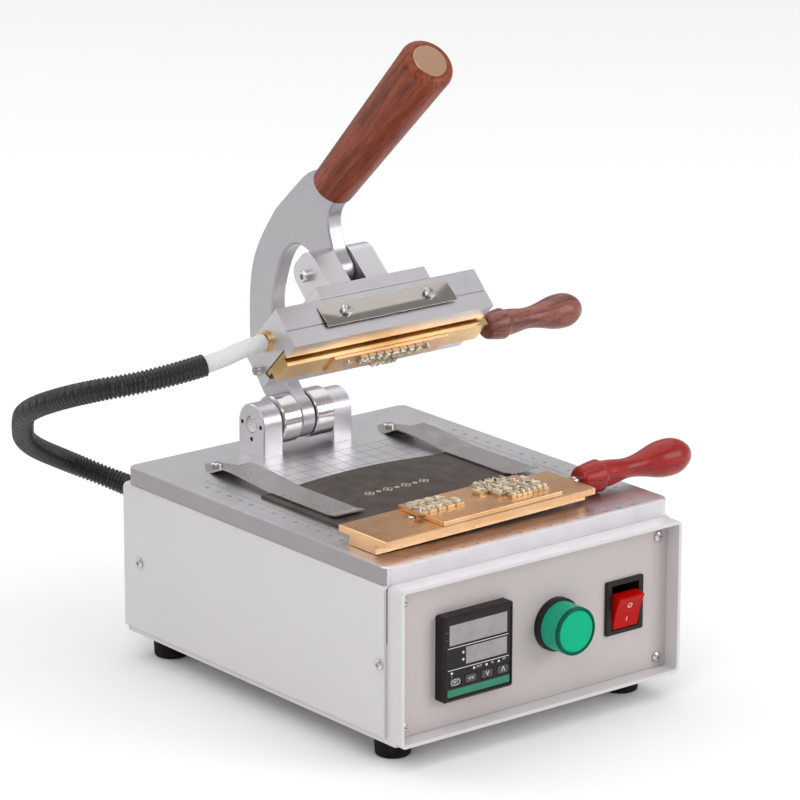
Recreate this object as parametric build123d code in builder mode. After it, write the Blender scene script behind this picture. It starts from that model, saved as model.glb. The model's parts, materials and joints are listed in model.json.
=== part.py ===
from build123d import *
import os
from math import cos, pi, radians, sin, tan

os.makedirs("parts", exist_ok=True)

# Frame: +X to the right along the front, +Y to the back, +Z up. The pieces are drawn about the
# middle of the housing at floor level. Each one is written moved by TO_ORIGIN, which puts the
# origin on the floor under the middle of the whole machine with its holders, conduit left out.
# The stamping arm rests raised by RAISE degrees.
TO_ORIGIN = Location((-21.6, -1.0, 0))

# ---------------------------------------------------------------- driving dimensions (mm)
SHEET = 2.0
GAP = 0.3

HOUSE_W = 197.0
FRONT_Y = -124.0
REAR_Y = 123.0
HOUSE_BOTTOM = 14.0
HOUSE_TOP = 102.0
HOUSE_H = HOUSE_TOP - HOUSE_BOTTOM
HOUSE_MID = HOUSE_BOTTOM + HOUSE_H / 2
RIM_DEPTH = 12.0
RECESS = 10.0
PANEL_Y = FRONT_Y + RECESS
COVER_W = 201.0
COVER_SHEET = 1.8

TABLE_W = 199.0
TABLE_D = 233.0
TABLE_T = 10.0
TABLE_TOP = HOUSE_TOP + TABLE_T
TABLE_Y = PANEL_Y + 2.0 + TABLE_D / 2

FOOT_R = 10.5
FOOT_X = 81.0
FOOT_YS = (-95.0, 106.0)

CONTROL_X, CONTROL_Z = -43.7, 56.0
CONTROL_SIZE = 48.0
CONTROL_PROUD = 8.0
LAMP_X, CONTROLS_Z = 16.0, 57.5
LAMP_R = 13.6
SWITCH_X = 65.0
SWITCH_W, SWITCH_H = 27.0, 31.0
ROCKER_TILT = 17.0

HINGE_Y, HINGE_Z = 95.0, 129.5
SHAFT_R = 5.0
BLOCK_IN, BLOCK_OUT = 18.0, 31.5
BLOCK_DEPTH = 24.0
BARREL_R = 14.0

RAISE = 45.0
ARM_T = 10.0
BOSS_R = 13.0
PIN_U, PIN_W = -93.5, 38.3
GRIP_U, GRIP_END, GRIP_W = -124.0, -244.0, 74.5
GRIP_R1, GRIP_R2 = 12.4, 15.5

HEAD_X = 69.75
HEAD_FRONT, HEAD_REAR = -115.5, -73.7
HEAD_BOTTOM, HEAD_TOP = -13.7, 11.5
SLOT_ROOF = -8.9
SLOT_U = -93.4
SLOT_TOP_W, SLOT_MOUTH_W = 24.0, 21.6

PLATE_LEN = 146.0
PLATE_W = 40.0
PLATE_T = 3.8
TONGUE_H = 5.2
SPARE_X, SPARE_Y = -90.0, -80.0
SPARE_TILT = 0.76

CLIP_X = 62.0
CLIP_W = 20.0
CLIP_T = 0.8

CONDUIT_R = 6.25
SLEEVE_R = 4.75

# ---------------------------------------------------------------- frames of the raised arm
BACK = Vector(0, cos(radians(RAISE)), -sin(radians(RAISE)))
UP = Vector(0, sin(radians(RAISE)), cos(radians(RAISE)))
HINGE = Vector(0, HINGE_Y, HINGE_Z)


def arm_point(x, u, w):
    """Point at x, u behind the hinge and w above it as measured with the arm lowered."""
    return Vector(x, 0, 0) + HINGE + BACK * u + UP * w


def arm_side(x):
    """Sketch plane facing +X whose axes are u (back) and w (up) of the arm."""
    return Plane(origin=arm_point(x, 0, 0), x_dir=BACK, z_dir=(1, 0, 0))


def arm_top(w):
    """Sketch plane facing up from the lowered arm; its axes are x and u."""
    return Plane(origin=arm_point(0, 0, w), x_dir=(1, 0, 0), z_dir=UP)


def arm_front(u):
    """Sketch plane facing the front of the lowered arm; its axes are x and w."""
    return Plane(origin=arm_point(0, u, 0), x_dir=(1, 0, 0), z_dir=BACK * -1)


def front_at(y):
    """Sketch plane facing the front (-Y) at the given Y; its axes are X and Z."""
    return Plane(origin=(0, y, 0), x_dir=(1, 0, 0), z_dir=(0, -1, 0))


def rear_at(y):
    """Sketch plane facing the rear (+Y); its local x runs along -X."""
    return Plane(origin=(0, y, 0), x_dir=(-1, 0, 0), z_dir=(0, 1, 0))


# ---------------------------------------------------------------- screws
def pan_screw(location, radius, height, shank_radius, shank_length):
    """Cross-recess pan head whose seat is at the location, head towards local +Z."""
    with Locations(location):
        Cylinder(radius, height * 0.6, align=(Align.CENTER, Align.CENTER, Align.MIN))
        Cylinder(shank_radius, shank_length, align=(Align.CENTER, Align.CENTER, Align.MAX))
    with Locations(location * Location((0, 0, height * 0.6))):
        Cone(radius, radius * 0.6, height * 0.4, align=(Align.CENTER, Align.CENTER, Align.MIN))
    with Locations(location * Location((0, 0, height))):
        Box(radius * 1.1, radius * 0.25, height * 1.2, mode=Mode.SUBTRACT)
        Box(radius * 0.25, radius * 1.1, height * 1.2, mode=Mode.SUBTRACT)


def socket_screw(location, radius, height, shank_radius, shank_length):
    """Cap or button head with a hexagon socket, seat at the location."""
    with Locations(location):
        Cylinder(radius, height * 0.7, align=(Align.CENTER, Align.CENTER, Align.MIN))
        Cylinder(shank_radius, shank_length, align=(Align.CENTER, Align.CENTER, Align.MAX))
    with Locations(location * Location((0, 0, height * 0.7))):
        Cone(radius, radius * 0.8, height * 0.3, align=(Align.CENTER, Align.CENTER, Align.MIN))
    with BuildSketch(Plane(location * Location((0, 0, height)))) as socket:
        RegularPolygon(radius * 0.52, 6)
    extrude(socket.sketch, amount=-height * 0.55, mode=Mode.SUBTRACT)


def on_plane(plane, x, y):
    """Location at local x, y of a plane."""
    return Location(plane) * Location((x, y, 0))


# ================================================================= housing
PANEL_SCREWS = [(x, z) for x in (-90.0, 90.0) for z in (22.0, 92.0)]
COVER_SCREWS = [(y, 58.0) for y in (-108.0, 108.0)]
RAIL_YS = (-85.0, 70.0)
RAIL_X = 60.0
BLOCK_BOLTS = [(sx * 24.75, y) for sx in (-1, 1) for y in (HINGE_Y - 7.5, HINGE_Y + 7.5)]
GLAND_X, GLAND_Z = -54.0, 76.0
INLET_X, INLET_Z = 52.0, 50.0

# Front rim, floor pan and the inner flange that the front panel is screwed to.
with BuildPart() as housing:
    with BuildSketch(front_at(FRONT_Y)):
        with Locations((0, HOUSE_MID)):
            RectangleRounded(HOUSE_W, HOUSE_H, 3.0)
            RectangleRounded(HOUSE_W - 2 * SHEET, HOUSE_H - 2 * SHEET, 1.5, mode=Mode.SUBTRACT)
    extrude(amount=-RIM_DEPTH)
    with BuildSketch(front_at(FRONT_Y + RIM_DEPTH)):
        with Locations((0, HOUSE_MID - 0.45)):
            Rectangle(HOUSE_W - 1.5 * SHEET, HOUSE_H - 1.45 * SHEET)
            Rectangle(HOUSE_W - 28, HOUSE_H - 28, mode=Mode.SUBTRACT)
    extrude(amount=-1.5)
    with Locations((0, (FRONT_Y + RIM_DEPTH + REAR_Y) / 2, HOUSE_BOTTOM)):
        Box(HOUSE_W, REAR_Y - FRONT_Y - RIM_DEPTH, SHEET, align=(Align.CENTER, Align.CENTER, Align.MIN))
    for side in (-1, 1):
        with Locations((side * (HOUSE_W - SHEET) / 2, 6, HOUSE_BOTTOM)):
            Box(SHEET, REAR_Y - 6 + 110, 14, align=(Align.CENTER, Align.CENTER, Align.MIN))
            Box(SHEET, 30, HOUSE_H - 4, align=(Align.CENTER, Align.CENTER, Align.MIN))
        for y, _ in COVER_SCREWS:
            with Locations((side * (HOUSE_W - SHEET) / 2, y, HOUSE_BOTTOM)):
                Box(SHEET, 22, 56, align=(Align.CENTER, Align.CENTER, Align.MIN))
    with Locations([front_at(PANEL_Y).location * Location((x, z, 0)) for x, z in PANEL_SCREWS]):
        Cylinder(1.5, 20, mode=Mode.SUBTRACT)
    with Locations([Location((0, y, z), (0, 90, 0)) for y, z in COVER_SCREWS]):
        Cylinder(1.5, HOUSE_W + 10, mode=Mode.SUBTRACT)
    with Locations([(sx * FOOT_X, y, HOUSE_BOTTOM) for sx in (-1, 1) for y in FOOT_YS]):
        Cylinder(2.0, 10, mode=Mode.SUBTRACT)
housing.part.label = "housing"
export_step(housing.part.moved(TO_ORIGIN), "parts/housing.step")

# Folded cover: roof and two sides over the floor pan.
with BuildPart() as cover:
    with BuildSketch(front_at(FRONT_Y + RIM_DEPTH + 0.5)) as cover_profile:
        with Locations((0, HOUSE_BOTTOM + 2.2)):
            Rectangle(COVER_W, HOUSE_H - 2.2, align=(Align.CENTER, Align.MIN))
        fillet(cover_profile.vertices().group_by(Axis.Z)[-1], 3.0)
        with Locations((0, HOUSE_BOTTOM)):
            Rectangle(COVER_W - 2 * COVER_SHEET, HOUSE_H - COVER_SHEET, align=(Align.CENTER, Align.MIN),
                      mode=Mode.SUBTRACT)
    extrude(amount=-(REAR_Y + 0.5 - FRONT_Y - RIM_DEPTH - 0.5))
    with Locations([Location((0, y, z), (0, 90, 0)) for y, z in COVER_SCREWS]):
        Cylinder(1.6, COVER_W + 10, mode=Mode.SUBTRACT)
    with Locations([(sx * RAIL_X, y, HOUSE_TOP) for sx in (-1, 1) for y in RAIL_YS]):
        Cylinder(3.2, 10, mode=Mode.SUBTRACT)
    with Locations([(x, y, HOUSE_TOP) for x, y in BLOCK_BOLTS]):
        Cylinder(5.0, 10, mode=Mode.SUBTRACT)
cover.part.label = "cover"
export_step(cover.part.moved(TO_ORIGIN), "parts/cover.step")

# Recessed front panel with openings for the controller, lamp and switch.
with BuildPart() as front_panel:
    with BuildSketch(front_at(PANEL_Y)):
        with Locations((0, HOUSE_MID)):
            RectangleRounded(HOUSE_W - 2 * SHEET - 0.4, HOUSE_H - 2 * SHEET - 0.4, 1.5)
        with Locations((CONTROL_X, CONTROL_Z)):
            Rectangle(45, 45, mode=Mode.SUBTRACT)
        with Locations((LAMP_X, CONTROLS_Z)):
            Circle(11.2, mode=Mode.SUBTRACT)
        with Locations((SWITCH_X, CONTROLS_Z)):
            Rectangle(22.2, 28.2, mode=Mode.SUBTRACT)
        with Locations(PANEL_SCREWS):
            Circle(1.6, mode=Mode.SUBTRACT)
    extrude(amount=-(RIM_DEPTH - RECESS))
front_panel.part.label = "front_panel"
export_step(front_panel.part.moved(TO_ORIGIN), "parts/front_panel.step")

# Rear panel with openings for the power inlet and the conduit gland.
with BuildPart() as rear_panel:
    with BuildSketch(rear_at(REAR_Y - SHEET)):
        with Locations((0, HOUSE_MID - 0.9)):
            Rectangle(HOUSE_W - 2 * SHEET - 0.4, HOUSE_H - 2 * SHEET - 2.2)
        with Locations((-INLET_X, INLET_Z)):
            Rectangle(27.4, 20.4, mode=Mode.SUBTRACT)
        with Locations((-GLAND_X, GLAND_Z)):
            Circle(8.0, mode=Mode.SUBTRACT)
    extrude(amount=SHEET)
rear_panel.part.label = "rear_panel"
export_step(rear_panel.part.moved(TO_ORIGIN), "parts/rear_panel.step")

with BuildPart() as case_screws:
    for x, z in PANEL_SCREWS:
        pan_screw(on_plane(front_at(PANEL_Y), x, z), 3.0, 1.8, 1.45, 7)
    for side in (-1, 1):
        for y, z in COVER_SCREWS:
            pan_screw(Location((side * COVER_W / 2, y, z), (0, side * 90, 0)), 3.0, 1.8, 1.45, 7)
case_screws.part.label = "case_screws"
export_step(case_screws.part.moved(TO_ORIGIN), "parts/case_screws.step")

# Tapered rubber feet with a countersunk pocket for their screws.
with BuildPart() as feet:
    for sx in (-1, 1):
        for y in FOOT_YS:
            with BuildSketch(Plane((sx * FOOT_X, y, 0), x_dir=(1, 0, 0), z_dir=(0, -1, 0))):
                with BuildLine():
                    Polyline((2.1, 6), (2.1, HOUSE_BOTTOM), (FOOT_R, HOUSE_BOTTOM), (FOOT_R - 0.7, 1.5))
                    ThreePointArc((FOOT_R - 0.7, 1.5), (FOOT_R - 1.2, 0.4), (FOOT_R - 2.4, 0))
                    Polyline((FOOT_R - 2.4, 0), (5.0, 0), (5.0, 6), (2.1, 6))
                make_face()
            revolve(axis=Axis((sx * FOOT_X, y, 0), (0, 0, 1)))
feet.part.label = "feet"
export_step(feet.part.moved(TO_ORIGIN), "parts/feet.step")

with BuildPart() as foot_screws:
    for sx in (-1, 1):
        for y in FOOT_YS:
            pan_screw(Location((sx * FOOT_X, y, 6), (180, 0, 0)), 4.0, 2.4, 1.9, 14)
foot_screws.part.label = "foot_screws"
export_step(foot_screws.part.moved(TO_ORIGIN), "parts/foot_screws.step")

# ================================================================= work table
with BuildPart() as table_plate:
    with BuildSketch(Plane.XY.offset(HOUSE_TOP)):
        with Locations((0, TABLE_Y)):
            RectangleRounded(TABLE_W, TABLE_D, 5.0)
    extrude(amount=TABLE_T)
    chamfer(table_plate.faces().sort_by(Axis.Z)[-1].edges(), 0.8)
    with Locations([(sx * RAIL_X, y, HOUSE_TOP) for sx in (-1, 1) for y in RAIL_YS]):
        Cylinder(3.0, 16, mode=Mode.SUBTRACT)
    with Locations([(x, y, HOUSE_TOP) for x, y in BLOCK_BOLTS]):
        Cylinder(2.6, 30, mode=Mode.SUBTRACT)
        Cylinder(4.8, 10.4, mode=Mode.SUBTRACT)
    with Locations([(sx * CLIP_X, 87, TABLE_TOP) for sx in (-1, 1)]):
        Cylinder(2.0, 16, mode=Mode.SUBTRACT)
table_plate.part.label = "table_plate"
export_step(table_plate.part.moved(TO_ORIGIN), "parts/table_plate.step")

# Two cross rails under the cover's roof carry the table's bolts.
with BuildPart() as table_rails:
    for y in RAIL_YS:
        with Locations((0, y, HOUSE_TOP - COVER_SHEET - 0.1)):
            Box(190, 20, 12, align=(Align.CENTER, Align.CENTER, Align.MAX))
    with Locations([(sx * RAIL_X, y, HOUSE_TOP - 8) for sx in (-1, 1) for y in RAIL_YS]):
        Cylinder(3.1, 20, mode=Mode.SUBTRACT)
table_rails.part.label = "table_rails"
export_step(table_rails.part.moved(TO_ORIGIN), "parts/table_rails.step")

# Hinge blocks: two round-topped pillow blocks with three spring-setting holes each.
with BuildPart() as hinge_blocks:
    for side in (-1, 1):
        with BuildSketch(Plane.YZ.offset(side * (BLOCK_IN + BLOCK_OUT) / 2)):
            with Locations((HINGE_Y, HINGE_Z)):
                Circle(BLOCK_DEPTH / 2)
            with Locations((HINGE_Y, TABLE_TOP)):
                Rectangle(BLOCK_DEPTH, HINGE_Z - TABLE_TOP, align=(Align.CENTER, Align.MIN))
        extrude(amount=(BLOCK_OUT - BLOCK_IN) / 2, both=True)
    chamfer(hinge_blocks.faces().filter_by(Axis.X).edges().filter_by(GeomType.CIRCLE), 0.6)
    with Locations(Location((0, HINGE_Y, HINGE_Z), (0, 90, 0))):
        Cylinder(SHAFT_R + 0.02, 80, mode=Mode.SUBTRACT)
    for side in (-1, 1):
        for angle in (0, 180, 270):
            hole_y = HINGE_Y + 8.6 * cos(radians(angle))
            hole_z = HINGE_Z + 8.6 * sin(radians(angle))
            with Locations(Location((side * BLOCK_OUT, hole_y, hole_z), (0, 90, 0))):
                Cylinder(1.3, 10, mode=Mode.SUBTRACT)
    with Locations([(x, y, TABLE_TOP) for x, y in BLOCK_BOLTS]):
        Cylinder(2.5, 20, mode=Mode.SUBTRACT)
hinge_blocks.part.label = "hinge_blocks"
export_step(hinge_blocks.part.moved(TO_ORIGIN), "parts/hinge_blocks.step")

# Cap screws from below: into the table through the rails, and into the hinge blocks.
with BuildPart() as table_bolts:
    for sx in (-1, 1):
        for y in RAIL_YS:
            bolt_seat = HOUSE_TOP - COVER_SHEET - 12.1
            socket_screw(Location((sx * RAIL_X, y, bolt_seat), (180, 0, 0)), 4.4, 4.8, 2.4, 21)
    for x, y in BLOCK_BOLTS:
        socket_screw(Location((x, y, HOUSE_TOP + 5.2), (180, 0, 0)), 4.4, 4.8, 2.4, 14)
table_bolts.part.label = "table_bolts"
export_step(table_bolts.part.moved(TO_ORIGIN), "parts/table_bolts.step")

with BuildPart() as hinge_shaft:
    with Locations(Location((0, HINGE_Y, HINGE_Z), (0, 90, 0))):
        Cylinder(SHAFT_R, 2 * BLOCK_OUT)
    chamfer(hinge_shaft.edges().filter_by(GeomType.CIRCLE), 0.6)
hinge_shaft.part.label = "hinge_shaft"
export_step(hinge_shaft.part.moved(TO_ORIGIN), "parts/hinge_shaft.step")

# Polished barrels between the blocks and the arm, each a cup around a torsion spring.
BARREL_IN = ARM_T / 2 + 0.35
BARREL_OUT = BLOCK_IN - 0.1
with BuildPart() as spring_barrels:
    for side in (-1, 1):
        with Locations(Location((side * (BARREL_IN + BARREL_OUT) / 2, HINGE_Y, HINGE_Z), (0, 90, 0))):
            Cylinder(BARREL_R, BARREL_OUT - BARREL_IN)
    chamfer(spring_barrels.edges().filter_by(GeomType.CIRCLE), 0.7)
    for side in (-1, 1):
        with Locations(Location((side * (BARREL_IN + 4.65), HINGE_Y, HINGE_Z), (0, 90, 0))):
            Cylinder(11.5, 9.3, mode=Mode.SUBTRACT)
    with Locations(Location((0, HINGE_Y, HINGE_Z), (0, 90, 0))):
        Cylinder(SHAFT_R + 0.1, 60, mode=Mode.SUBTRACT)
spring_barrels.part.label = "spring_barrels"
export_step(spring_barrels.part.moved(TO_ORIGIN), "parts/spring_barrels.step")

# One spring coil turn stack per barrel, drawn as closed rings side by side.
with BuildPart() as torsion_springs:
    for side in (-1, 1):
        for turn in range(4):
            ring_x = side * (BARREL_IN + 1.6 + turn * 2.1)
            with BuildSketch(Plane((ring_x, HINGE_Y, HINGE_Z), x_dir=(1, 0, 0), z_dir=(0, -1, 0))):
                with Locations((0, 9.0)):
                    Circle(0.9)
            revolve(axis=Axis((0, HINGE_Y, HINGE_Z), (1, 0, 0)))
torsion_springs.part.label = "torsion_springs"
export_step(torsion_springs.part.moved(TO_ORIGIN), "parts/torsion_springs.step")

# Work clips: arched stainless strips screwed down behind, pressing the work in front.
CLIP_SCREW_Y = 87.0


def add_clip(centre_x):
    """Side profile of one strip, extruded to its width, with a tapered tab behind."""
    floor = TABLE_TOP + CLIP_T / 2 + 0.02
    with BuildSketch(Plane.YZ.offset(centre_x)) as strip:
        with BuildLine():
            FilletPolyline((94, floor), (80, floor), (68, floor + 5), (58, floor + 5), (22, floor + 2.0),
                           (-27, floor + 2.0), (-34, floor + 3.2), radius=4)
        trace(line_width=CLIP_T)
    extrude(strip.sketch, amount=CLIP_W / 2, both=True)


with BuildPart() as work_clips:
    for side in (-1, 1):
        add_clip(side * CLIP_X)
    for side in (-1, 1):
        for edge in (-1, 1):
            with BuildSketch(Plane.XY.offset(TABLE_TOP)):
                with BuildLine():
                    corner_x = side * CLIP_X + edge * CLIP_W / 2
                    Polyline((corner_x, 83), (corner_x, 95), (corner_x - edge * 7.5, 95), close=True)
                make_face()
            extrude(amount=3, mode=Mode.SUBTRACT)
    with Locations([(side * CLIP_X, CLIP_SCREW_Y, TABLE_TOP) for side in (-1, 1)]):
        Cylinder(2.1, 6, mode=Mode.SUBTRACT)
work_clips.part.label = "work_clips"
export_step(work_clips.part.moved(TO_ORIGIN), "parts/work_clips.step")

with BuildPart() as clip_screws:
    for side in (-1, 1):
        socket_screw(Location((side * CLIP_X, CLIP_SCREW_Y, TABLE_TOP + CLIP_T + 0.04)), 3.5, 2.4, 1.9, 8)
clip_screws.part.label = "clip_screws"
export_step(clip_screws.part.moved(TO_ORIGIN), "parts/clip_screws.step")

# Leather work piece held flat under both clips.
with BuildPart() as leather_piece:
    with BuildSketch(Plane.XY.offset(TABLE_TOP + 0.05)):
        with Locations((-9.5, -14)):
            RectangleRounded(135, 80, 1.0)
    extrude(amount=1.5)
leather_piece.part.label = "leather_piece"
export_step(leather_piece.part.moved(TO_ORIGIN), "parts/leather_piece.step")

# ================================================================= controls
KEY_XS = (-60.0, -49.3, -38.0, -27.0)
KEY_Z = 43.0
KEY_W, KEY_H = 7.6, 4.6
FACE_Y = PANEL_Y - CONTROL_PROUD
WINDOWS = [(-44.0, 69.3, 40.0, 11.6), (-38.4, 56.3, 28.6, 9.8)]

with BuildPart() as controller_case:
    with BuildSketch(front_at(PANEL_Y)):
        with Locations((CONTROL_X, CONTROL_Z)):
            RectangleRounded(CONTROL_SIZE, CONTROL_SIZE, 1.5)
    extrude(amount=CONTROL_PROUD)
    chamfer(controller_case.faces().sort_by(Axis.Y)[0].edges(), 1.4)
    with BuildSketch(front_at(PANEL_Y)):
        with Locations((CONTROL_X, CONTROL_Z)):
            Rectangle(44.4, 44.4)
    extrude(amount=-72)
    with BuildSketch(front_at(FACE_Y)):
        with Locations((CONTROL_X, CONTROL_Z)):
            Rectangle(44.0, 44.0)
    extrude(amount=-1.4, mode=Mode.SUBTRACT)
    with BuildSketch(front_at(FACE_Y)):
        with Locations([(x, KEY_Z) for x in KEY_XS]):
            Rectangle(KEY_W + 0.8, KEY_H + 0.8)
    extrude(amount=-4.5, mode=Mode.SUBTRACT)
controller_case.part.label = "controller_case"
export_step(controller_case.part.moved(TO_ORIGIN), "parts/controller_case.step")

with BuildPart() as controller_face:
    with BuildSketch(front_at(FACE_Y + 0.5)):
        with Locations((CONTROL_X, CONTROL_Z)):
            Rectangle(43.8, 43.8)
        for x, z, width, height in WINDOWS:
            with Locations((x, z)):
                Rectangle(width, height, mode=Mode.SUBTRACT)
        with Locations([(x, KEY_Z) for x in KEY_XS]):
            Rectangle(KEY_W + 0.8, KEY_H + 0.8, mode=Mode.SUBTRACT)
    extrude(amount=-0.9)
controller_face.part.label = "controller_face"
export_step(controller_face.part.moved(TO_ORIGIN), "parts/controller_face.step")

with BuildPart() as display_windows:
    with BuildSketch(front_at(FACE_Y + 0.7)):
        for x, z, width, height in WINDOWS:
            with Locations((x, z)):
                Rectangle(width - 0.1, height - 0.1)
    extrude(amount=-0.7)
display_windows.part.label = "display_windows"
export_step(display_windows.part.moved(TO_ORIGIN), "parts/display_windows.step")


def make_key(index, label):
    """One controller key: a small cap that travels into the case."""
    with BuildPart() as key:
        with BuildSketch(front_at(FACE_Y + 0.2)):
            with Locations((KEY_XS[index], KEY_Z)):
                RectangleRounded(KEY_W, KEY_H, 0.6)
        extrude(amount=-2.8)
        chamfer(key.faces().sort_by(Axis.Y)[0].edges(), 0.25)
    key.part.label = label
    export_step(key.part.moved(TO_ORIGIN), f"parts/{label}.step")


for key_index, key_name in enumerate(("key_set", "key_shift", "key_down", "key_up")):
    make_key(key_index, key_name)

# Pilot lamp: black bezel and body, hollow green lens, and the nut behind the panel.
with BuildPart() as lamp_body:
    with BuildSketch(front_at(PANEL_Y)):
        with Locations((LAMP_X, CONTROLS_Z)):
            Circle(15.0)
    extrude(amount=4.0)
    chamfer(lamp_body.faces().sort_by(Axis.Y)[0].edges(), 0.6)
    with BuildSketch(front_at(PANEL_Y)):
        with Locations((LAMP_X, CONTROLS_Z)):
            Circle(11.0)
    extrude(amount=-24)
    with BuildSketch(front_at(PANEL_Y + 24)):
        with Locations((LAMP_X, CONTROLS_Z)):
            Rectangle(16, 16)
    extrude(amount=-16)
lamp_body.part.label = "lamp_body"
export_step(lamp_body.part.moved(TO_ORIGIN), "parts/lamp_body.step")

with BuildPart() as lamp_lens:
    with BuildSketch(front_at(PANEL_Y - 4.05)):
        with Locations((LAMP_X, CONTROLS_Z)):
            Circle(LAMP_R)
    extrude(amount=14.0)
    fillet(lamp_lens.faces().sort_by(Axis.Y)[0].edges(), 1.2)
    with BuildSketch(front_at(PANEL_Y - 4.0)):
        with Locations((LAMP_X, CONTROLS_Z)):
            Circle(LAMP_R - 1.8)
    extrude(amount=11.5, mode=Mode.SUBTRACT)
lamp_lens.part.label = "lamp_lens"
export_step(lamp_lens.part.moved(TO_ORIGIN), "parts/lamp_lens.step")

with BuildPart() as lamp_nut:
    with BuildSketch(front_at(PANEL_Y + SHEET + 0.05)):
        with Locations((LAMP_X, CONTROLS_Z)):
            RegularPolygon(14.0, 6)
            Circle(11.05, mode=Mode.SUBTRACT)
    extrude(amount=-4)
lamp_nut.part.label = "lamp_nut"
export_step(lamp_nut.part.moved(TO_ORIGIN), "parts/lamp_nut.step")

# Rocker switch.
ROCKER_Y = PANEL_Y + 4.0
with BuildPart() as switch_frame:
    with BuildSketch(front_at(PANEL_Y)):
        with Locations((SWITCH_X, CONTROLS_Z)):
            RectangleRounded(SWITCH_W, SWITCH_H, 1.0)
    extrude(amount=2.0)
    chamfer(switch_frame.faces().sort_by(Axis.Y)[0].edges(), 0.6)
    with BuildSketch(front_at(PANEL_Y)):
        with Locations((SWITCH_X, CONTROLS_Z)):
            Rectangle(21.8, 27.8)
    extrude(amount=-28)
    with BuildSketch(front_at(PANEL_Y - 2.0)):
        with Locations((SWITCH_X, CONTROLS_Z)):
            Rectangle(19.6, 25.6)
    extrude(amount=-21, mode=Mode.SUBTRACT)
    for side in (-1, 1):
        with Locations(Location((SWITCH_X + side * 9.3, ROCKER_Y, CONTROLS_Z), (0, 90, 0))):
            Cylinder(1.2, 1.2)
    for x in (-5.5, 0, 5.5):
        with Locations((SWITCH_X + x, PANEL_Y + 28, CONTROLS_Z)):
            Box(0.8, 8, 6.3, align=(Align.CENTER, Align.MIN, Align.CENTER))
switch_frame.part.label = "switch_frame"
export_step(switch_frame.part.moved(TO_ORIGIN), "parts/switch_frame.step")

# Rocker cap: dished front, resting with its upper end out, on two side pips.
rocker_plane = Plane(origin=(SWITCH_X, ROCKER_Y, CONTROLS_Z), x_dir=(0, -cos(radians(ROCKER_TILT)),
                     -sin(radians(ROCKER_TILT))), z_dir=(-1, 0, 0))
with BuildPart() as rocker:
    with BuildSketch(rocker_plane):
        with BuildLine():
            Polyline((9.6, 10.0), (2.5, 9.3), (-3.5, 4.5), (-3.5, -4.5), (2.5, -9.3), (9.6, -10.0))
            ThreePointArc((9.6, -10.0), (8.7, 0), (9.6, 10.0))
        make_face()
    extrude(amount=9.1, both=True)
    with Locations(Location((SWITCH_X, ROCKER_Y, CONTROLS_Z), (0, 90, 0))):
        Cylinder(1.25, 40, mode=Mode.SUBTRACT)
rocker.part.label = "rocker"
export_step(rocker.part.moved(TO_ORIGIN), "parts/rocker.step")

# ================================================================= rear and inside
with BuildPart() as power_inlet:
    with BuildSketch(rear_at(REAR_Y)):
        with Locations((-INLET_X, INLET_Z)):
            RectangleRounded(50, 24, 4)
    extrude(amount=3.0)
    with BuildSketch(rear_at(REAR_Y)):
        with Locations((-INLET_X, INLET_Z)):
            Rectangle(27, 20)
    extrude(amount=-22)
    with BuildSketch(rear_at(REAR_Y + 3.0)):
        with Locations((-INLET_X, INLET_Z)):
            Rectangle(24, 16.4)
    extrude(amount=-16, mode=Mode.SUBTRACT)
    for pin_x, pin_z in ((-7, -1.5), (7, -1.5), (0, 2.5)):
        with Locations((INLET_X + pin_x, REAR_Y - 14, INLET_Z + pin_z)):
            Box(2, 12, 4, align=(Align.CENTER, Align.MIN, Align.CENTER))
    with Locations([rear_at(REAR_Y + 3).location * Location((-INLET_X + sx * 20, INLET_Z, 0))
                    for sx in (-1, 1)]):
        Cylinder(1.7, 12, mode=Mode.SUBTRACT)
power_inlet.part.label = "power_inlet"
export_step(power_inlet.part.moved(TO_ORIGIN), "parts/power_inlet.step")

with BuildPart() as conduit_gland:
    with BuildSketch(rear_at(REAR_Y)):
        with Locations((-GLAND_X, GLAND_Z)):
            RegularPolygon(10.5, 6)
    extrude(amount=5.0)
    with BuildSketch(rear_at(REAR_Y + 5)):
        with Locations((-GLAND_X, GLAND_Z)):
            Circle(8.6)
    extrude(amount=6.0)
    chamfer(conduit_gland.faces().sort_by(Axis.Y)[-1].edges(), 1.0)
    with BuildSketch(rear_at(REAR_Y)):
        with Locations((-GLAND_X, GLAND_Z)):
            Circle(7.9)
    extrude(amount=-12)
    with BuildSketch(rear_at(REAR_Y + 11)):
        with Locations((-GLAND_X, GLAND_Z)):
            Circle(4.5)
    extrude(amount=-30, mode=Mode.SUBTRACT)
conduit_gland.part.label = "conduit_gland"
export_step(conduit_gland.part.moved(TO_ORIGIN), "parts/conduit_gland.step")

# Solid-state relay and terminal block on the floor pan.
with BuildPart() as relay:
    with Locations((45, 20, HOUSE_BOTTOM + SHEET)):
        Box(45, 60, 22, align=(Align.CENTER, Align.CENTER, Align.MIN))
    with Locations([(45 + sx * 12, 20 + sy * 24, HOUSE_BOTTOM + SHEET + 22)
                    for sx in (-1, 1) for sy in (-1, 1)]):
        Cylinder(3.2, 2.0, align=(Align.CENTER, Align.CENTER, Align.MIN))
relay.part.label = "relay"
export_step(relay.part.moved(TO_ORIGIN), "parts/relay.step")

with BuildPart() as terminal_block:
    with Locations((-25, 70, HOUSE_BOTTOM + SHEET)):
        Box(60, 20, 14, align=(Align.CENTER, Align.CENTER, Align.MIN))
    with Locations([(-25 + (i - 2.5) * 9.5, 70, HOUSE_BOTTOM + SHEET + 14) for i in range(6)]):
        Box(7.5, 12, 4, mode=Mode.SUBTRACT)
terminal_block.part.label = "terminal_block"
export_step(terminal_block.part.moved(TO_ORIGIN), "parts/terminal_block.step")

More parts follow.
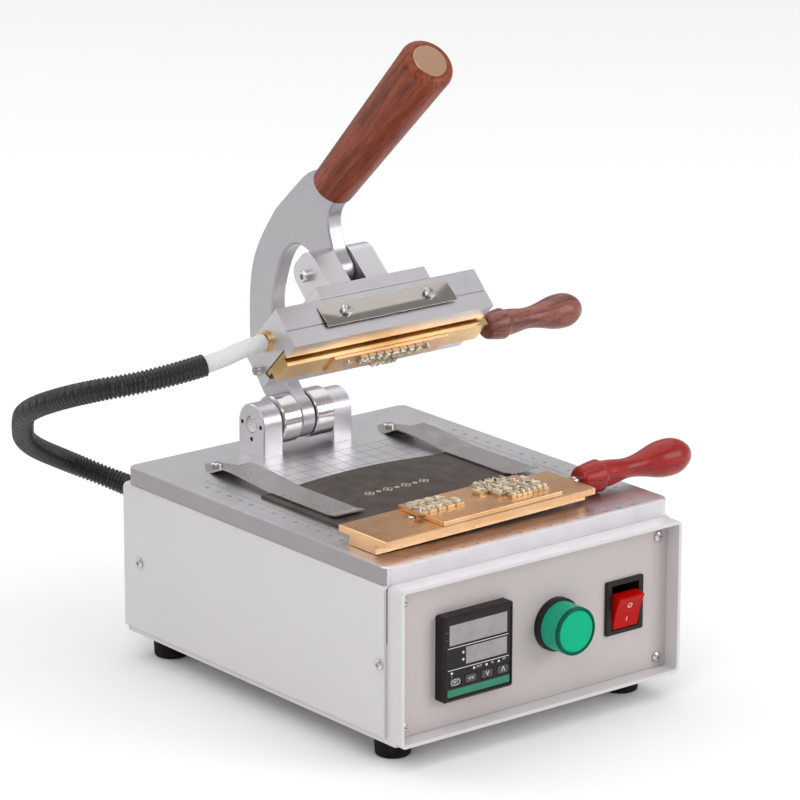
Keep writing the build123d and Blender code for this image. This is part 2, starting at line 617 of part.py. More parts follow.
# ================================================================= arm
# C-shaped flat arm: boss on the shaft, neck under the grip, nose in the head's clevis.
NOSE_R = 9.8
with BuildPart() as arm_plate:
    with BuildSketch(arm_side(0)):
        with BuildLine():
            Line((11.6, 2), (11.0, 20))
            Spline((11.0, 20), (8.5, 38), (-9.8, 62.5), (-25.1, 76.4), (-47, 87.7), (-71.2, 92.2),
                   (-100, 91.6), tangents=((-0.02, 1), (-1, -0.05)))
            Spline((-100, 91.6), (-114, 90.2), (GRIP_U, 86.5), tangents=((-1, -0.05), (-1, -0.5)))
            Line((GRIP_U, 86.5), (GRIP_U, 63.6))
            Spline((GRIP_U, 63.6), (-111.5, 59.6), (-105.6, 49.5), (PIN_U - NOSE_R, PIN_W),
                   tangents=((1, 0), (0, -1)))
            ThreePointArc((PIN_U - NOSE_R, PIN_W), (PIN_U, PIN_W - NOSE_R), (PIN_U + NOSE_R, PIN_W))
            Spline((PIN_U + NOSE_R, PIN_W), (-84.5, 56), (-78, 67), (-65, 70), (-48, 64.4), (-29.4, 50),
                   (-15.5, 28), (-11.5, 10), tangents=((0, 1), (0, -1)))
            Polyline((-11.5, 10), (-11.5, 2), (11.6, 2))
        make_face()
        Circle(BOSS_R)
    extrude(amount=ARM_T / 2, both=True)
    chamfer(arm_plate.faces().filter_by(Axis.X).edges(), 0.9)
    with BuildSketch(arm_side(0)):
        Circle(SHAFT_R + 0.05)
        with Locations((PIN_U, PIN_W)):
            Circle(2.56)
    extrude(amount=20, both=True, mode=Mode.SUBTRACT)
    with BuildSketch(Plane(arm_point(0, GRIP_U, GRIP_W), x_dir=(1, 0, 0), z_dir=BACK)):
        Circle(3.05)
    extrude(amount=16, mode=Mode.SUBTRACT)
arm_plate.part.label = "arm_plate"
export_step(arm_plate.part.moved(TO_ORIGIN), "parts/arm_plate.step")

grip_axis = Axis(arm_point(0, GRIP_U, GRIP_W), BACK * -1)
with BuildPart() as grip:
    with BuildSketch(arm_side(0)):
        with BuildLine():
            Polyline((GRIP_U - 0.05, GRIP_W), (GRIP_U - 0.05, GRIP_W + GRIP_R1 - 1.0),
                     (GRIP_U - 1.0, GRIP_W + GRIP_R1))
            Spline((GRIP_U - 1.0, GRIP_W + GRIP_R1), (GRIP_U - 60, GRIP_W + 14.0),
                   (GRIP_END + 5, GRIP_W + GRIP_R2))
            ThreePointArc((GRIP_END + 5, GRIP_W + GRIP_R2), (GRIP_END + 1.4, GRIP_W + GRIP_R2 - 1.5),
                          (GRIP_END, GRIP_W + GRIP_R2 - 4.5))
            Polyline((GRIP_END, GRIP_W + GRIP_R2 - 4.5), (GRIP_END, GRIP_W), (GRIP_U - 0.05, GRIP_W))
        make_face()
    revolve(axis=grip_axis)
    with BuildSketch(Plane(arm_point(0, GRIP_END, GRIP_W), x_dir=(1, 0, 0), z_dir=BACK)):
        Circle(10.2)
    extrude(amount=1.2, mode=Mode.SUBTRACT)
    with BuildSketch(Plane(arm_point(0, GRIP_U, GRIP_W), x_dir=(1, 0, 0), z_dir=BACK * -1)):
        Circle(3.05)
    extrude(amount=72, mode=Mode.SUBTRACT)
grip.part.label = "grip"
export_step(grip.part.moved(TO_ORIGIN), "parts/grip.step")

with BuildPart() as grip_stud:
    with BuildSketch(Plane(arm_point(0, GRIP_U + 15.5, GRIP_W), x_dir=(1, 0, 0), z_dir=BACK * -1)):
        Circle(3.0)
    extrude(amount=86)
grip_stud.part.label = "grip_stud"
export_step(grip_stud.part.moved(TO_ORIGIN), "parts/grip_stud.step")

with BuildPart() as grip_disc:
    with BuildSketch(Plane(arm_point(0, GRIP_END + 1.15, GRIP_W), x_dir=(1, 0, 0), z_dir=BACK * -1)):
        Circle(10.1)
    extrude(amount=1.5)
    chamfer(grip_disc.faces().sort_by(Axis(arm_point(0, 0, 0), BACK))[0].edges(), 0.4)
grip_disc.part.label = "grip_disc"
export_step(grip_disc.part.moved(TO_ORIGIN), "parts/grip_disc.step")

# ================================================================= head
EAR_IN, EAR_OUT = ARM_T / 2 + 0.35, 21.2
FLANGE_X = 38.3
FLANGE_TOP = 19.3
SCREW_SINK = 4.2
BRACKET_SCREWS = [(x, u) for x in (-31.0, 31.0) for u in (-107.0, -83.0)]

with BuildPart() as bracket:
    with BuildSketch(arm_top(HEAD_TOP)):
        with Locations((0, (HEAD_FRONT - 76) / 2)):
            Rectangle(2 * FLANGE_X, -HEAD_FRONT - 76)
    extrude(amount=FLANGE_TOP - HEAD_TOP)
    chamfer(bracket.faces().sort_by(Axis(HINGE, UP))[-1].edges(), 0.5)
    for side in (-1, 1):
        with BuildSketch(arm_side(side * (EAR_IN + EAR_OUT) / 2)) as ear_profile:
            with BuildLine():
                Polyline((-106.2, FLANGE_TOP - 1), (-104.4, 49.8), (-81.8, 49.8), (-81.2, FLANGE_TOP - 1),
                         close=True)
            make_face()
            fillet(ear_profile.vertices().sort_by(Axis((0, 0, 0), UP))[-2:], 8.0)
        extrude(amount=(EAR_OUT - EAR_IN) / 2, both=True)
    ear_edges = bracket.faces().filter_by(Axis.X).edges().filter_by(lambda e: abs(e.center().X) > EAR_OUT - 1)
    chamfer(ear_edges.filter_by(lambda e: (e.center() - HINGE).dot(UP) > FLANGE_TOP + 2), 0.5)
    with BuildSketch(arm_side(0)):
        with Locations((PIN_U, PIN_W)):
            Circle(2.5)
    extrude(amount=60, both=True, mode=Mode.SUBTRACT)
    with BuildSketch(arm_top(FLANGE_TOP)):
        with Locations(BRACKET_SCREWS):
            Circle(2.2)
    extrude(amount=-20, mode=Mode.SUBTRACT)
    with BuildSketch(arm_top(FLANGE_TOP)):
        with Locations(BRACKET_SCREWS):
            Circle(3.9)
    extrude(amount=-SCREW_SINK, mode=Mode.SUBTRACT)
bracket.part.label = "bracket"
export_step(bracket.part.moved(TO_ORIGIN), "parts/bracket.step")

with BuildPart() as pivot_bolt:
    left_face = Plane(arm_point(-EAR_OUT, PIN_U, PIN_W), x_dir=BACK, z_dir=(-1, 0, 0))
    socket_screw(left_face.location, 3.5, 4.0, 2.49, 2 * EAR_OUT + 3)
pivot_bolt.part.label = "pivot_bolt"
export_step(pivot_bolt.part.moved(TO_ORIGIN), "parts/pivot_bolt.step")

with BuildPart() as pivot_nut:
    with BuildSketch(arm_side(EAR_OUT)):
        with Locations((PIN_U, PIN_W)):
            RegularPolygon(4.4, 6)
            Circle(2.5, mode=Mode.SUBTRACT)
    extrude(amount=3.2)
pivot_nut.part.label = "pivot_nut"
export_step(pivot_nut.part.moved(TO_ORIGIN), "parts/pivot_nut.step")

with BuildPart() as bracket_screws:
    for x, u in BRACKET_SCREWS:
        socket_screw(on_plane(arm_top(FLANGE_TOP - SCREW_SINK), x, u), 3.6, 4.0, 2.1, 7.8)
bracket_screws.part.label = "bracket_screws"
export_step(bracket_screws.part.moved(TO_ORIGIN), "parts/bracket_screws.step")

# Heating block with its dovetail slot, heater bores and cable entry.
HEATERS = [(-107.2, 2.5), (-83.0, 2.5)]
ENTRY = (-95.3, 3.0)
SENSOR = (-79.5, -5.5)
STRIP_HALF, STRIP_X, STRIP_SCREW_X = 45.3, 1.2, 29.0
with BuildPart() as head_block:
    with BuildSketch(arm_side(-HEAD_X)):
        with BuildLine():
            mouth = SLOT_MOUTH_W / 2
            roof = SLOT_TOP_W / 2
            Polyline((HEAD_FRONT, HEAD_TOP), (HEAD_FRONT, -2.8), (HEAD_FRONT + 1.0, -3.3), (HEAD_FRONT, -3.8),
                     (HEAD_FRONT, HEAD_BOTTOM), (SLOT_U - mouth, HEAD_BOTTOM), (SLOT_U - roof, SLOT_ROOF),
                     (SLOT_U + roof, SLOT_ROOF), (SLOT_U + mouth, HEAD_BOTTOM), (HEAD_REAR, HEAD_BOTTOM),
                     (HEAD_REAR, HEAD_TOP), close=True)
        make_face()
    extrude(amount=2 * HEAD_X)
    chamfer(head_block.faces().sort_by(Axis(HINGE, UP))[-1].edges(), 0.6)
    with BuildSketch(arm_side(0)):
        with Locations(HEATERS):
            Circle(4.05)
    extrude(amount=58, both=True, mode=Mode.SUBTRACT)
    with BuildSketch(arm_side(-HEAD_X)):
        with Locations(ENTRY):
            Circle(5.5)
        with Locations(SENSOR):
            Circle(2.2)
    extrude(amount=14, mode=Mode.SUBTRACT)
    with BuildSketch(arm_top(HEAD_TOP)):
        with Locations(BRACKET_SCREWS):
            Circle(2.1)
    extrude(amount=-4.4, mode=Mode.SUBTRACT)
    with BuildSketch(arm_front(HEAD_FRONT)):
        with Locations([(STRIP_X + sx * STRIP_SCREW_X, 0.8) for sx in (-1, 1)]):
            Circle(1.5)
    extrude(amount=-3.6, mode=Mode.SUBTRACT)
head_block.part.label = "head_block"
export_step(head_block.part.moved(TO_ORIGIN), "parts/head_block.step")

with BuildPart() as heaters:
    with BuildSketch(arm_side(0)):
        with Locations(HEATERS):
            Circle(4.0)
    extrude(amount=57, both=True)
heaters.part.label = "heaters"
export_step(heaters.part.moved(TO_ORIGIN), "parts/heaters.step")

with BuildPart() as head_gland:
    with BuildSketch(arm_side(-HEAD_X - 2.2)):
        with Locations(ENTRY):
            Circle(5.9)
            Circle(4.85, mode=Mode.SUBTRACT)
    extrude(amount=2.15)
    with BuildSketch(arm_side(-HEAD_X)):
        with Locations(ENTRY):
            Circle(5.4)
            Circle(4.85, mode=Mode.SUBTRACT)
    extrude(amount=10)
head_gland.part.label = "head_gland"
export_step(head_gland.part.moved(TO_ORIGIN), "parts/head_gland.step")

# Temperature sensor: hexagon fitting and black body under the cable entry.
with BuildPart() as sensor:
    with BuildSketch(arm_side(-HEAD_X - 2.2)):
        with Locations(SENSOR):
            RegularPolygon(3.4, 6)
    extrude(amount=2.15)
    with BuildSketch(arm_side(-HEAD_X - 4.2)):
        with Locations(SENSOR):
            Circle(2.4)
    extrude(amount=2.0)
    with BuildSketch(arm_side(-HEAD_X - 0.05)):
        with Locations(SENSOR):
            Circle(2.1)
    extrude(amount=13)
sensor.part.label = "sensor"
export_step(sensor.part.moved(TO_ORIGIN), "parts/sensor.step")

# Polished strip on the head's face, its lower edge standing off the block.
with BuildPart() as face_strip:
    with BuildSketch(arm_side(STRIP_X)):
        with BuildLine():
            Polyline((-115.95, 7.0), (-117.5, -4.2), (-117.0, -6.4))
        trace(line_width=0.8)
    extrude(amount=STRIP_HALF, both=True)
    with BuildSketch(arm_front(-125)):
        with Locations([(STRIP_X + sx * STRIP_SCREW_X, 0.8) for sx in (-1, 1)]):
            Circle(1.7)
    extrude(amount=-20, mode=Mode.SUBTRACT)
face_strip.part.label = "face_strip"
export_step(face_strip.part.moved(TO_ORIGIN), "parts/face_strip.step")

with BuildPart() as strip_screws:
    for sx in (-1, 1):
        socket_screw(on_plane(arm_front(-117.8), STRIP_X + sx * STRIP_SCREW_X, 0.8), 3.4, 2.2, 1.45, 5.4)
strip_screws.part.label = "strip_screws"
export_step(strip_screws.part.moved(TO_ORIGIN), "parts/strip_screws.step")


# ================================================================= type holders
def turned_handle(axis_plane, start, length, bell_r, neck_r, bulb_r):
    """Turned handle along local +Z of the plane: flared bell with a ridge, waist and round bulb."""
    bell_x = start + 0.17 * length
    bulb_x = start + 0.81 * length
    round_x = bulb_x + 0.19 * length * sin(pi / 4)
    with BuildSketch(Plane(axis_plane.origin, x_dir=axis_plane.z_dir, z_dir=axis_plane.x_dir)) as profile:
        with BuildLine():
            Polyline((start, 0), (start, 0.68 * bell_r), (start + 1.2, 0.8 * bell_r))
            Spline((start + 1.2, 0.8 * bell_r), (start + 0.1 * length, 0.93 * bell_r), (bell_x, bell_r))
            Spline((bell_x, bell_r), (start + 0.27 * length, (bell_r + neck_r) / 2 - 0.2),
                   (start + 0.42 * length, neck_r), (start + 0.62 * length, (neck_r + bulb_r) / 2),
                   (bulb_x, bulb_r), tangents=((1, -0.9), (1, 0)))
            Spline((bulb_x, bulb_r), (round_x, bulb_r * cos(pi / 4)), (start + length, 0),
                   tangents=((1, 0), (0, -1)))
            Line((start + length, 0), (start, 0))
        make_face()
    revolve(profile.sketch, axis=Axis(axis_plane.origin, axis_plane.z_dir))


def letter_bars(kind, size):
    """Bars (x, y, width, height) of a plain block letter of the given size, lower left at 0, 0."""
    bar = size * 0.22
    wide = size * 0.7
    bars = {
        "L": [(0, 0, bar, size), (0, 0, wide, bar)],
        "T": [((wide - bar) / 2, 0, bar, size), (0, size - bar, wide, bar)],
        "E": [(0, 0, bar, size), (0, 0, wide, bar), (0, (size - bar) / 2, wide, bar),
              (0, size - bar, wide, bar)],
        "H": [(0, 0, bar, size), (wide - bar, 0, bar, size), (0, (size - bar) / 2, wide, bar)],
        "I": [((wide - bar) / 2, 0, bar, size)],
        "F": [(0, 0, bar, size), (0, (size - bar) / 2, wide, bar), (0, size - bar, wide, bar)],
    }
    return bars[kind]


def type_row(text, x, y, size, pitch):
    """Row of block letters in the current sketch, centred at x, y, mirrored as type is."""
    first = x + pitch * (len(text) - 1) / 2
    for index, kind in enumerate(text):
        origin_x = first - index * pitch
        for bar_x, bar_y, width, height in letter_bars(kind, size):
            with Locations((origin_x - bar_x - width / 2 + size * 0.35, y + bar_y + height / 2 - size / 2)):
                Rectangle(width, height)


# Holder in the head: dovetail flange in the slot, narrower bar below it.
BAR_X0, BAR_X1 = -69.0, 72.0
BAR_BOTTOM = -17.2
BAR_HALF, BAR_FLANGE = 7.8, 2.5
TYPE_A_X, TYPE_A_LEN, TYPE_A_DEPTH, TYPE_A_T = 3.0, 80.0, 14.4, 1.8
TYPE_A_SCREWS = [(TYPE_A_X + sx * 28, SLOT_U) for sx in (-1, 1)]
HANDLE_A_X, HANDLE_A_W = 75.5, -15.0
TANG_A_IN, TANG_A_REACH = 11.0, 25.0
with BuildPart() as bar_holder:
    with BuildSketch(arm_side(BAR_X0)):
        with BuildLine():
            slope = (SLOT_TOP_W - SLOT_MOUTH_W) / 2 / (SLOT_ROOF - HEAD_BOTTOM)
            top_half = SLOT_TOP_W / 2 - GAP - slope * GAP
            low_half = SLOT_TOP_W / 2 - GAP - slope * (GAP + BAR_FLANGE)
            flange_top = SLOT_ROOF - GAP
            flange_low = flange_top - BAR_FLANGE
            Polyline((SLOT_U - top_half, flange_top), (SLOT_U + top_half, flange_top),
                     (SLOT_U + low_half, flange_low), (SLOT_U + BAR_HALF, flange_low),
                     (SLOT_U + BAR_HALF, BAR_BOTTOM), (SLOT_U - BAR_HALF, BAR_BOTTOM),
                     (SLOT_U - BAR_HALF, flange_low), (SLOT_U - low_half, flange_low), close=True)
        make_face()
    extrude(amount=BAR_X1 - BAR_X0)
    with BuildSketch(arm_side(BAR_X1)):
        with Locations((SLOT_U, HANDLE_A_W)):
            Circle(2.0)
    extrude(amount=-12, mode=Mode.SUBTRACT)
    with BuildSketch(arm_top(BAR_BOTTOM)):
        with Locations(TYPE_A_SCREWS):
            Circle(1.25)
    extrude(amount=5, mode=Mode.SUBTRACT)
bar_holder.part.label = "bar_holder"
export_step(bar_holder.part.moved(TO_ORIGIN), "parts/bar_holder.step")

# Brass type plate: raised mirrored letters in one piece with their backing.
type_plane = Plane(arm_point(0, 0, BAR_BOTTOM - TYPE_A_T - 0.02), x_dir=(1, 0, 0), z_dir=UP * -1)
with BuildPart() as bar_type:
    with BuildSketch(arm_top(BAR_BOTTOM - 0.02)):
        with Locations((TYPE_A_X, SLOT_U)):
            Rectangle(TYPE_A_LEN, TYPE_A_DEPTH)
        with Locations(TYPE_A_SCREWS):
            Circle(1.35, mode=Mode.SUBTRACT)
    extrude(amount=-TYPE_A_T)
    with BuildSketch(type_plane):
        type_row("TITLE", TYPE_A_X, -SLOT_U + 2.6, 6.5, 8.0)
        type_row("LIFT", TYPE_A_X, -SLOT_U - 4.0, 4.0, 6.0)
    extrude(amount=2.6)
bar_type.part.label = "bar_type"
export_step(bar_type.part.moved(TO_ORIGIN), "parts/bar_type.step")

with BuildPart() as bar_type_screws:
    for sx in (-1, 1):
        socket_screw(on_plane(type_plane, TYPE_A_X + sx * 28, -SLOT_U), 2.3, 1.3, 1.2, 5.5)
bar_type_screws.part.label = "bar_type_screws"
export_step(bar_type_screws.part.moved(TO_ORIGIN), "parts/bar_type_screws.step")

handle_a_plane = Plane(arm_point(0, SLOT_U, HANDLE_A_W), x_dir=UP, z_dir=(1, 0, 0))
with BuildPart() as bar_tang:
    with BuildSketch(arm_side(BAR_X1 - TANG_A_IN)):
        with Locations((SLOT_U, HANDLE_A_W)):
            Circle(1.98)
    extrude(amount=HANDLE_A_X - BAR_X1 + TANG_A_IN + TANG_A_REACH - 0.5)
bar_tang.part.label = "bar_tang"
export_step(bar_tang.part.moved(TO_ORIGIN), "parts/bar_tang.step")

with BuildPart() as bar_handle:
    turned_handle(handle_a_plane, HANDLE_A_X, 70.0, 8.9, 6.1, 10.0)
    with BuildSketch(arm_side(HANDLE_A_X)):
        with Locations((SLOT_U, HANDLE_A_W)):
            Circle(2.0)
    extrude(amount=TANG_A_REACH, mode=Mode.SUBTRACT)
bar_handle.part.label = "bar_handle"
export_step(bar_handle.part.moved(TO_ORIGIN), "parts/bar_handle.step")

# Spare holder lying type-up on the table, tipped by its handle's bell.
spare_x = Vector(cos(radians(SPARE_TILT)), 0, sin(radians(SPARE_TILT)))
spare_up = Vector(-sin(radians(SPARE_TILT)), 0, cos(radians(SPARE_TILT)))
SPARE_ORIGIN = Vector(SPARE_X, SPARE_Y, TABLE_TOP + 0.3)


def spare_level(h):
    """Sketch plane parallel to the spare plate, h above the tongue's underside."""
    return Plane(SPARE_ORIGIN + spare_up * h, x_dir=spare_x, z_dir=spare_up)


def spare_end(x):
    """Sketch plane across the spare holder at x along it; its axes are Y and up."""
    return Plane(SPARE_ORIGIN + spare_x * x, x_dir=(0, 1, 0), z_dir=spare_x)


HANDLE_B_H = 7.0
SPARE_TYPE_X0, SPARE_TYPE_X1 = 40.0, 123.0
SPARE_TOP = TONGUE_H + PLATE_T
with BuildPart() as spare_plate:
    with BuildSketch(spare_end(0)):
        with BuildLine():
            Polyline((-11.7, 0), (11.7, 0), (10.4, TONGUE_H), (PLATE_W / 2, TONGUE_H),
                     (PLATE_W / 2, SPARE_TOP), (-PLATE_W / 2, SPARE_TOP), (-PLATE_W / 2, TONGUE_H),
                     (-10.4, TONGUE_H), close=True)
        make_face()
    extrude(amount=PLATE_LEN)
    chamfer(spare_plate.faces().sort_by(Axis.Z)[-1].edges(), 0.5)
    with BuildSketch(spare_end(PLATE_LEN)):
        with Locations((0, HANDLE_B_H)):
            Circle(1.5)
    extrude(amount=-14, mode=Mode.SUBTRACT)
    with BuildSketch(spare_level(SPARE_TOP)):
        with Locations((36, 3)):
            Circle(1.25)
    extrude(amount=-4, mode=Mode.SUBTRACT)
spare_plate.part.label = "spare_plate"
export_step(spare_plate.part.moved(TO_ORIGIN), "parts/spare_plate.step")

with BuildPart() as spare_type:
    with BuildSketch(spare_level(SPARE_TOP + 0.02)):
        with Locations(((SPARE_TYPE_X0 + SPARE_TYPE_X1) / 2, 0)):
            Rectangle(SPARE_TYPE_X1 - SPARE_TYPE_X0, PLATE_W - 1)
    extrude(amount=2.0)
    chamfer(spare_type.faces().sort_by(Axis.Z)[-1].edges(), 0.3)
    with BuildSketch(spare_level(SPARE_TOP + 2.02)):
        type_row("HILL", 58, 4, 7.0, 6.6)
        type_row("FILE", 56, -8, 6.0, 6.0)
        type_row("THE", 104, 12, 6.5, 7.0)
        type_row("TITLE", 103, 2, 7.5, 7.0)
        type_row("LITE", 106, -9, 5.5, 6.0)
    extrude(amount=3.0)
spare_type.part.label = "spare_type"
export_step(spare_type.part.moved(TO_ORIGIN), "parts/spare_type.step")

with BuildPart() as spare_screw:
    pan_screw(on_plane(spare_level(SPARE_TOP + 0.02), 36, 3), 2.2, 1.4, 1.2, 3.6)
spare_screw.part.label = "spare_screw"
export_step(spare_screw.part.moved(TO_ORIGIN), "parts/spare_screw.step")

with BuildPart() as spare_tang:
    with BuildSketch(spare_end(PLATE_LEN - 12)):
        with Locations((0, HANDLE_B_H)):
            Circle(1.48)
    extrude(amount=16)
    with BuildSketch(spare_end(PLATE_LEN + 0.1)):
        with Locations((0, HANDLE_B_H)):
            Circle(3.0)
    extrude(amount=32)
spare_tang.part.label = "spare_tang"
export_step(spare_tang.part.moved(TO_ORIGIN), "parts/spare_tang.step")

with BuildPart() as spare_handle:
    handle_b_plane = Plane(SPARE_ORIGIN + spare_up * HANDLE_B_H, x_dir=spare_up, z_dir=spare_x)
    turned_handle(handle_b_plane, PLATE_LEN + 5.0, 81.0, 9.2, 5.7, 10.6)
    with BuildSketch(spare_end(PLATE_LEN)):
        with Locations((0, HANDLE_B_H)):
            Circle(3.05)
    extrude(amount=33, mode=Mode.SUBTRACT)
spare_handle.part.label = "spare_handle"
export_step(spare_handle.part.moved(TO_ORIGIN), "parts/spare_handle.step")

# ================================================================= cable from head to housing
# White heat sleeve out of the head, then black corrugated conduit to the rear gland.
entry_point = arm_point(-HEAD_X - 2.3, *ENTRY)
SLEEVE_END = Vector(-111.0, 31.5, 192.3)
with BuildPart() as heat_sleeve:
    sleeve_dir = SLEEVE_END - entry_point
    with BuildSketch(Plane(entry_point, z_dir=sleeve_dir)):
        Circle(SLEEVE_R)
    extrude(amount=sleeve_dir.length - 0.8)
heat_sleeve.part.label = "heat_sleeve"
export_step(heat_sleeve.part.moved(TO_ORIGIN), "parts/heat_sleeve.step")

CONDUIT_ROUTE = [
    Vector(-111, 31.5, 192.3),
    Vector(-138, 36, 188),
    Vector(-172, 64, 180),
    Vector(-174, 110, 161),
    Vector(-146, 156, 137),
    Vector(-122, 190, 113),
    Vector(-84, 202, 92),
    Vector(GLAND_X, 175, GLAND_Z),
    Vector(GLAND_X, REAR_Y + 11.1, GLAND_Z),
]


def corner_radii(route):
    """Largest tangent radius of each inner corner: 0.45 of the shorter run over tan(half turn)."""
    radii = []
    for before, corner, after in zip(route, route[1:], route[2:]):
        first, second = corner - before, after - corner
        turn = radians(first.get_angle(second))
        radii.append(0.45 * min(first.length, second.length) / tan(turn / 2))
    return radii


conduit_radii = corner_radii(CONDUIT_ROUTE)
print("conduit runs", [round((b - a).length, 1) for a, b in zip(CONDUIT_ROUTE, CONDUIT_ROUTE[1:])])
print("conduit radii", [round(radius, 1) for radius in conduit_radii])
with BuildPart() as conduit:
    with BuildLine() as conduit_path:
        FilletPolyline(*CONDUIT_ROUTE, radius=conduit_radii)
    with BuildSketch(Plane(CONDUIT_ROUTE[0], z_dir=CONDUIT_ROUTE[1] - CONDUIT_ROUTE[0])):
        Circle(CONDUIT_R)
    sweep()
conduit_length = sum(edge.length for edge in conduit_path.edges())
print("conduit length", round(conduit_length, 1), "volume ratio",
      round(conduit.part.volume / (pi * CONDUIT_R ** 2 * conduit_length), 4))
conduit.part.label = "conduit"
export_step(conduit.part.moved(TO_ORIGIN), "parts/conduit.step")
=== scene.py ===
import bmesh
import bpy
import json
from math import cos, pi, radians, sin
from mathutils import Matrix, Quaternion, Vector
from mathutils.bvhtree import BVHTree

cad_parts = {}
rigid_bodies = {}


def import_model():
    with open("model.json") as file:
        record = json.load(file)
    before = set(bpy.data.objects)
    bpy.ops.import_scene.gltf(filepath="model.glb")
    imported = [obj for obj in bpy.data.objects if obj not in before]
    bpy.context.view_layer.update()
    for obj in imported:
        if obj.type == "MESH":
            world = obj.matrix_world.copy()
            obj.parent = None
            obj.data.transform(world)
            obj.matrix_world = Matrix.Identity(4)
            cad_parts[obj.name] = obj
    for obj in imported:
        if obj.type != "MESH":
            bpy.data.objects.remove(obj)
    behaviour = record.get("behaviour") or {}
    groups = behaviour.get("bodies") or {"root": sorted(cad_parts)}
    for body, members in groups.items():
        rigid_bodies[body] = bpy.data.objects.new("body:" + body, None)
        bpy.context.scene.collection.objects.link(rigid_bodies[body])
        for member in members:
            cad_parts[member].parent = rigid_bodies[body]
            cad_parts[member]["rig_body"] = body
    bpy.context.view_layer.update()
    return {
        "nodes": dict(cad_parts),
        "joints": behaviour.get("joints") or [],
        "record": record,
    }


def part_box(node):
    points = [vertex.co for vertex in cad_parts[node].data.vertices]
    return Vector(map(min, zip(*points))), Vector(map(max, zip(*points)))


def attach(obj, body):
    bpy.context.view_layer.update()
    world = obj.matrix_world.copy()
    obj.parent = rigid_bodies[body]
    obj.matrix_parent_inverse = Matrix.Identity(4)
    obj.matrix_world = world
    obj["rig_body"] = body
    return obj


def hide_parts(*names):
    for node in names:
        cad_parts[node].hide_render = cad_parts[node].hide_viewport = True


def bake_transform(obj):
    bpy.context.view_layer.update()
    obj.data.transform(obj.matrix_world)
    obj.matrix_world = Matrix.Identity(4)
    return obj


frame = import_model()
nodes = frame["nodes"]
joints = {joint["name"]: joint for joint in frame["joints"]}
scene = bpy.context.scene
MM = 0.001

# ---------------------------------------------------------------- camera
CAMERA_AT = (-1.4848, -1.8180, 0.8413)
CAMERA_YAW, CAMERA_PITCH, CAMERA_ROLL = -38.84, -16.28, 0.13
CAMERA_LENS = 198.4

camera_data = bpy.data.cameras.new("camera")
camera_data.lens = CAMERA_LENS
camera_data.sensor_width = 36
camera_data.clip_start, camera_data.clip_end = 0.1, 30
camera = bpy.data.objects.new("camera", camera_data)
scene.collection.objects.link(camera)
camera.location = CAMERA_AT
camera.rotation_mode = "QUATERNION"
camera.rotation_quaternion = (Quaternion((0, 0, 1), radians(CAMERA_YAW))
                              @ Quaternion((1, 0, 0), radians(90 + CAMERA_PITCH))
                              @ Quaternion((0, 0, 1), radians(CAMERA_ROLL)))
scene.camera = camera

# ---------------------------------------------------------------- frame of the raised arm
HINGE = Vector(joints["arm_lower"]["pos_m"])
RAISE = radians(45)
BACK = Vector((0, cos(RAISE), -sin(RAISE)))
UP = Vector((0, sin(RAISE), cos(RAISE)))
RIGHT = Vector((1, 0, 0))
HINGE_BEHIND_MIDDLE = 0.095
# Point on the floor under the middle of the housing, from which the table's marks and pieces are laid out.
DATUM = Vector((HINGE.x, HINGE.y - HINGE_BEHIND_MIDDLE, 0))


def arm_point(x, u, w):
    """Point x right of the hinge, u along BACK and w along UP, the arm's own directions at rest, in mm."""
    return HINGE + (RIGHT * x + BACK * u + UP * w) * MM


def frame_at(origin, x_axis, normal):
    """Matrix of a plane: local X along x_axis, local Z along normal."""
    z_axis = Vector(normal).normalized()
    y_axis = z_axis.cross(Vector(x_axis)).normalized()
    x_axis = y_axis.cross(z_axis)
    turned = Matrix((x_axis, y_axis, z_axis)).transposed().to_4x4()
    return Matrix.Translation(origin) @ turned


# ================================================================ materials
# Part of a texture's range over which a colour or a value runs.
RAMP_START, RAMP_END = 0.3, 0.7


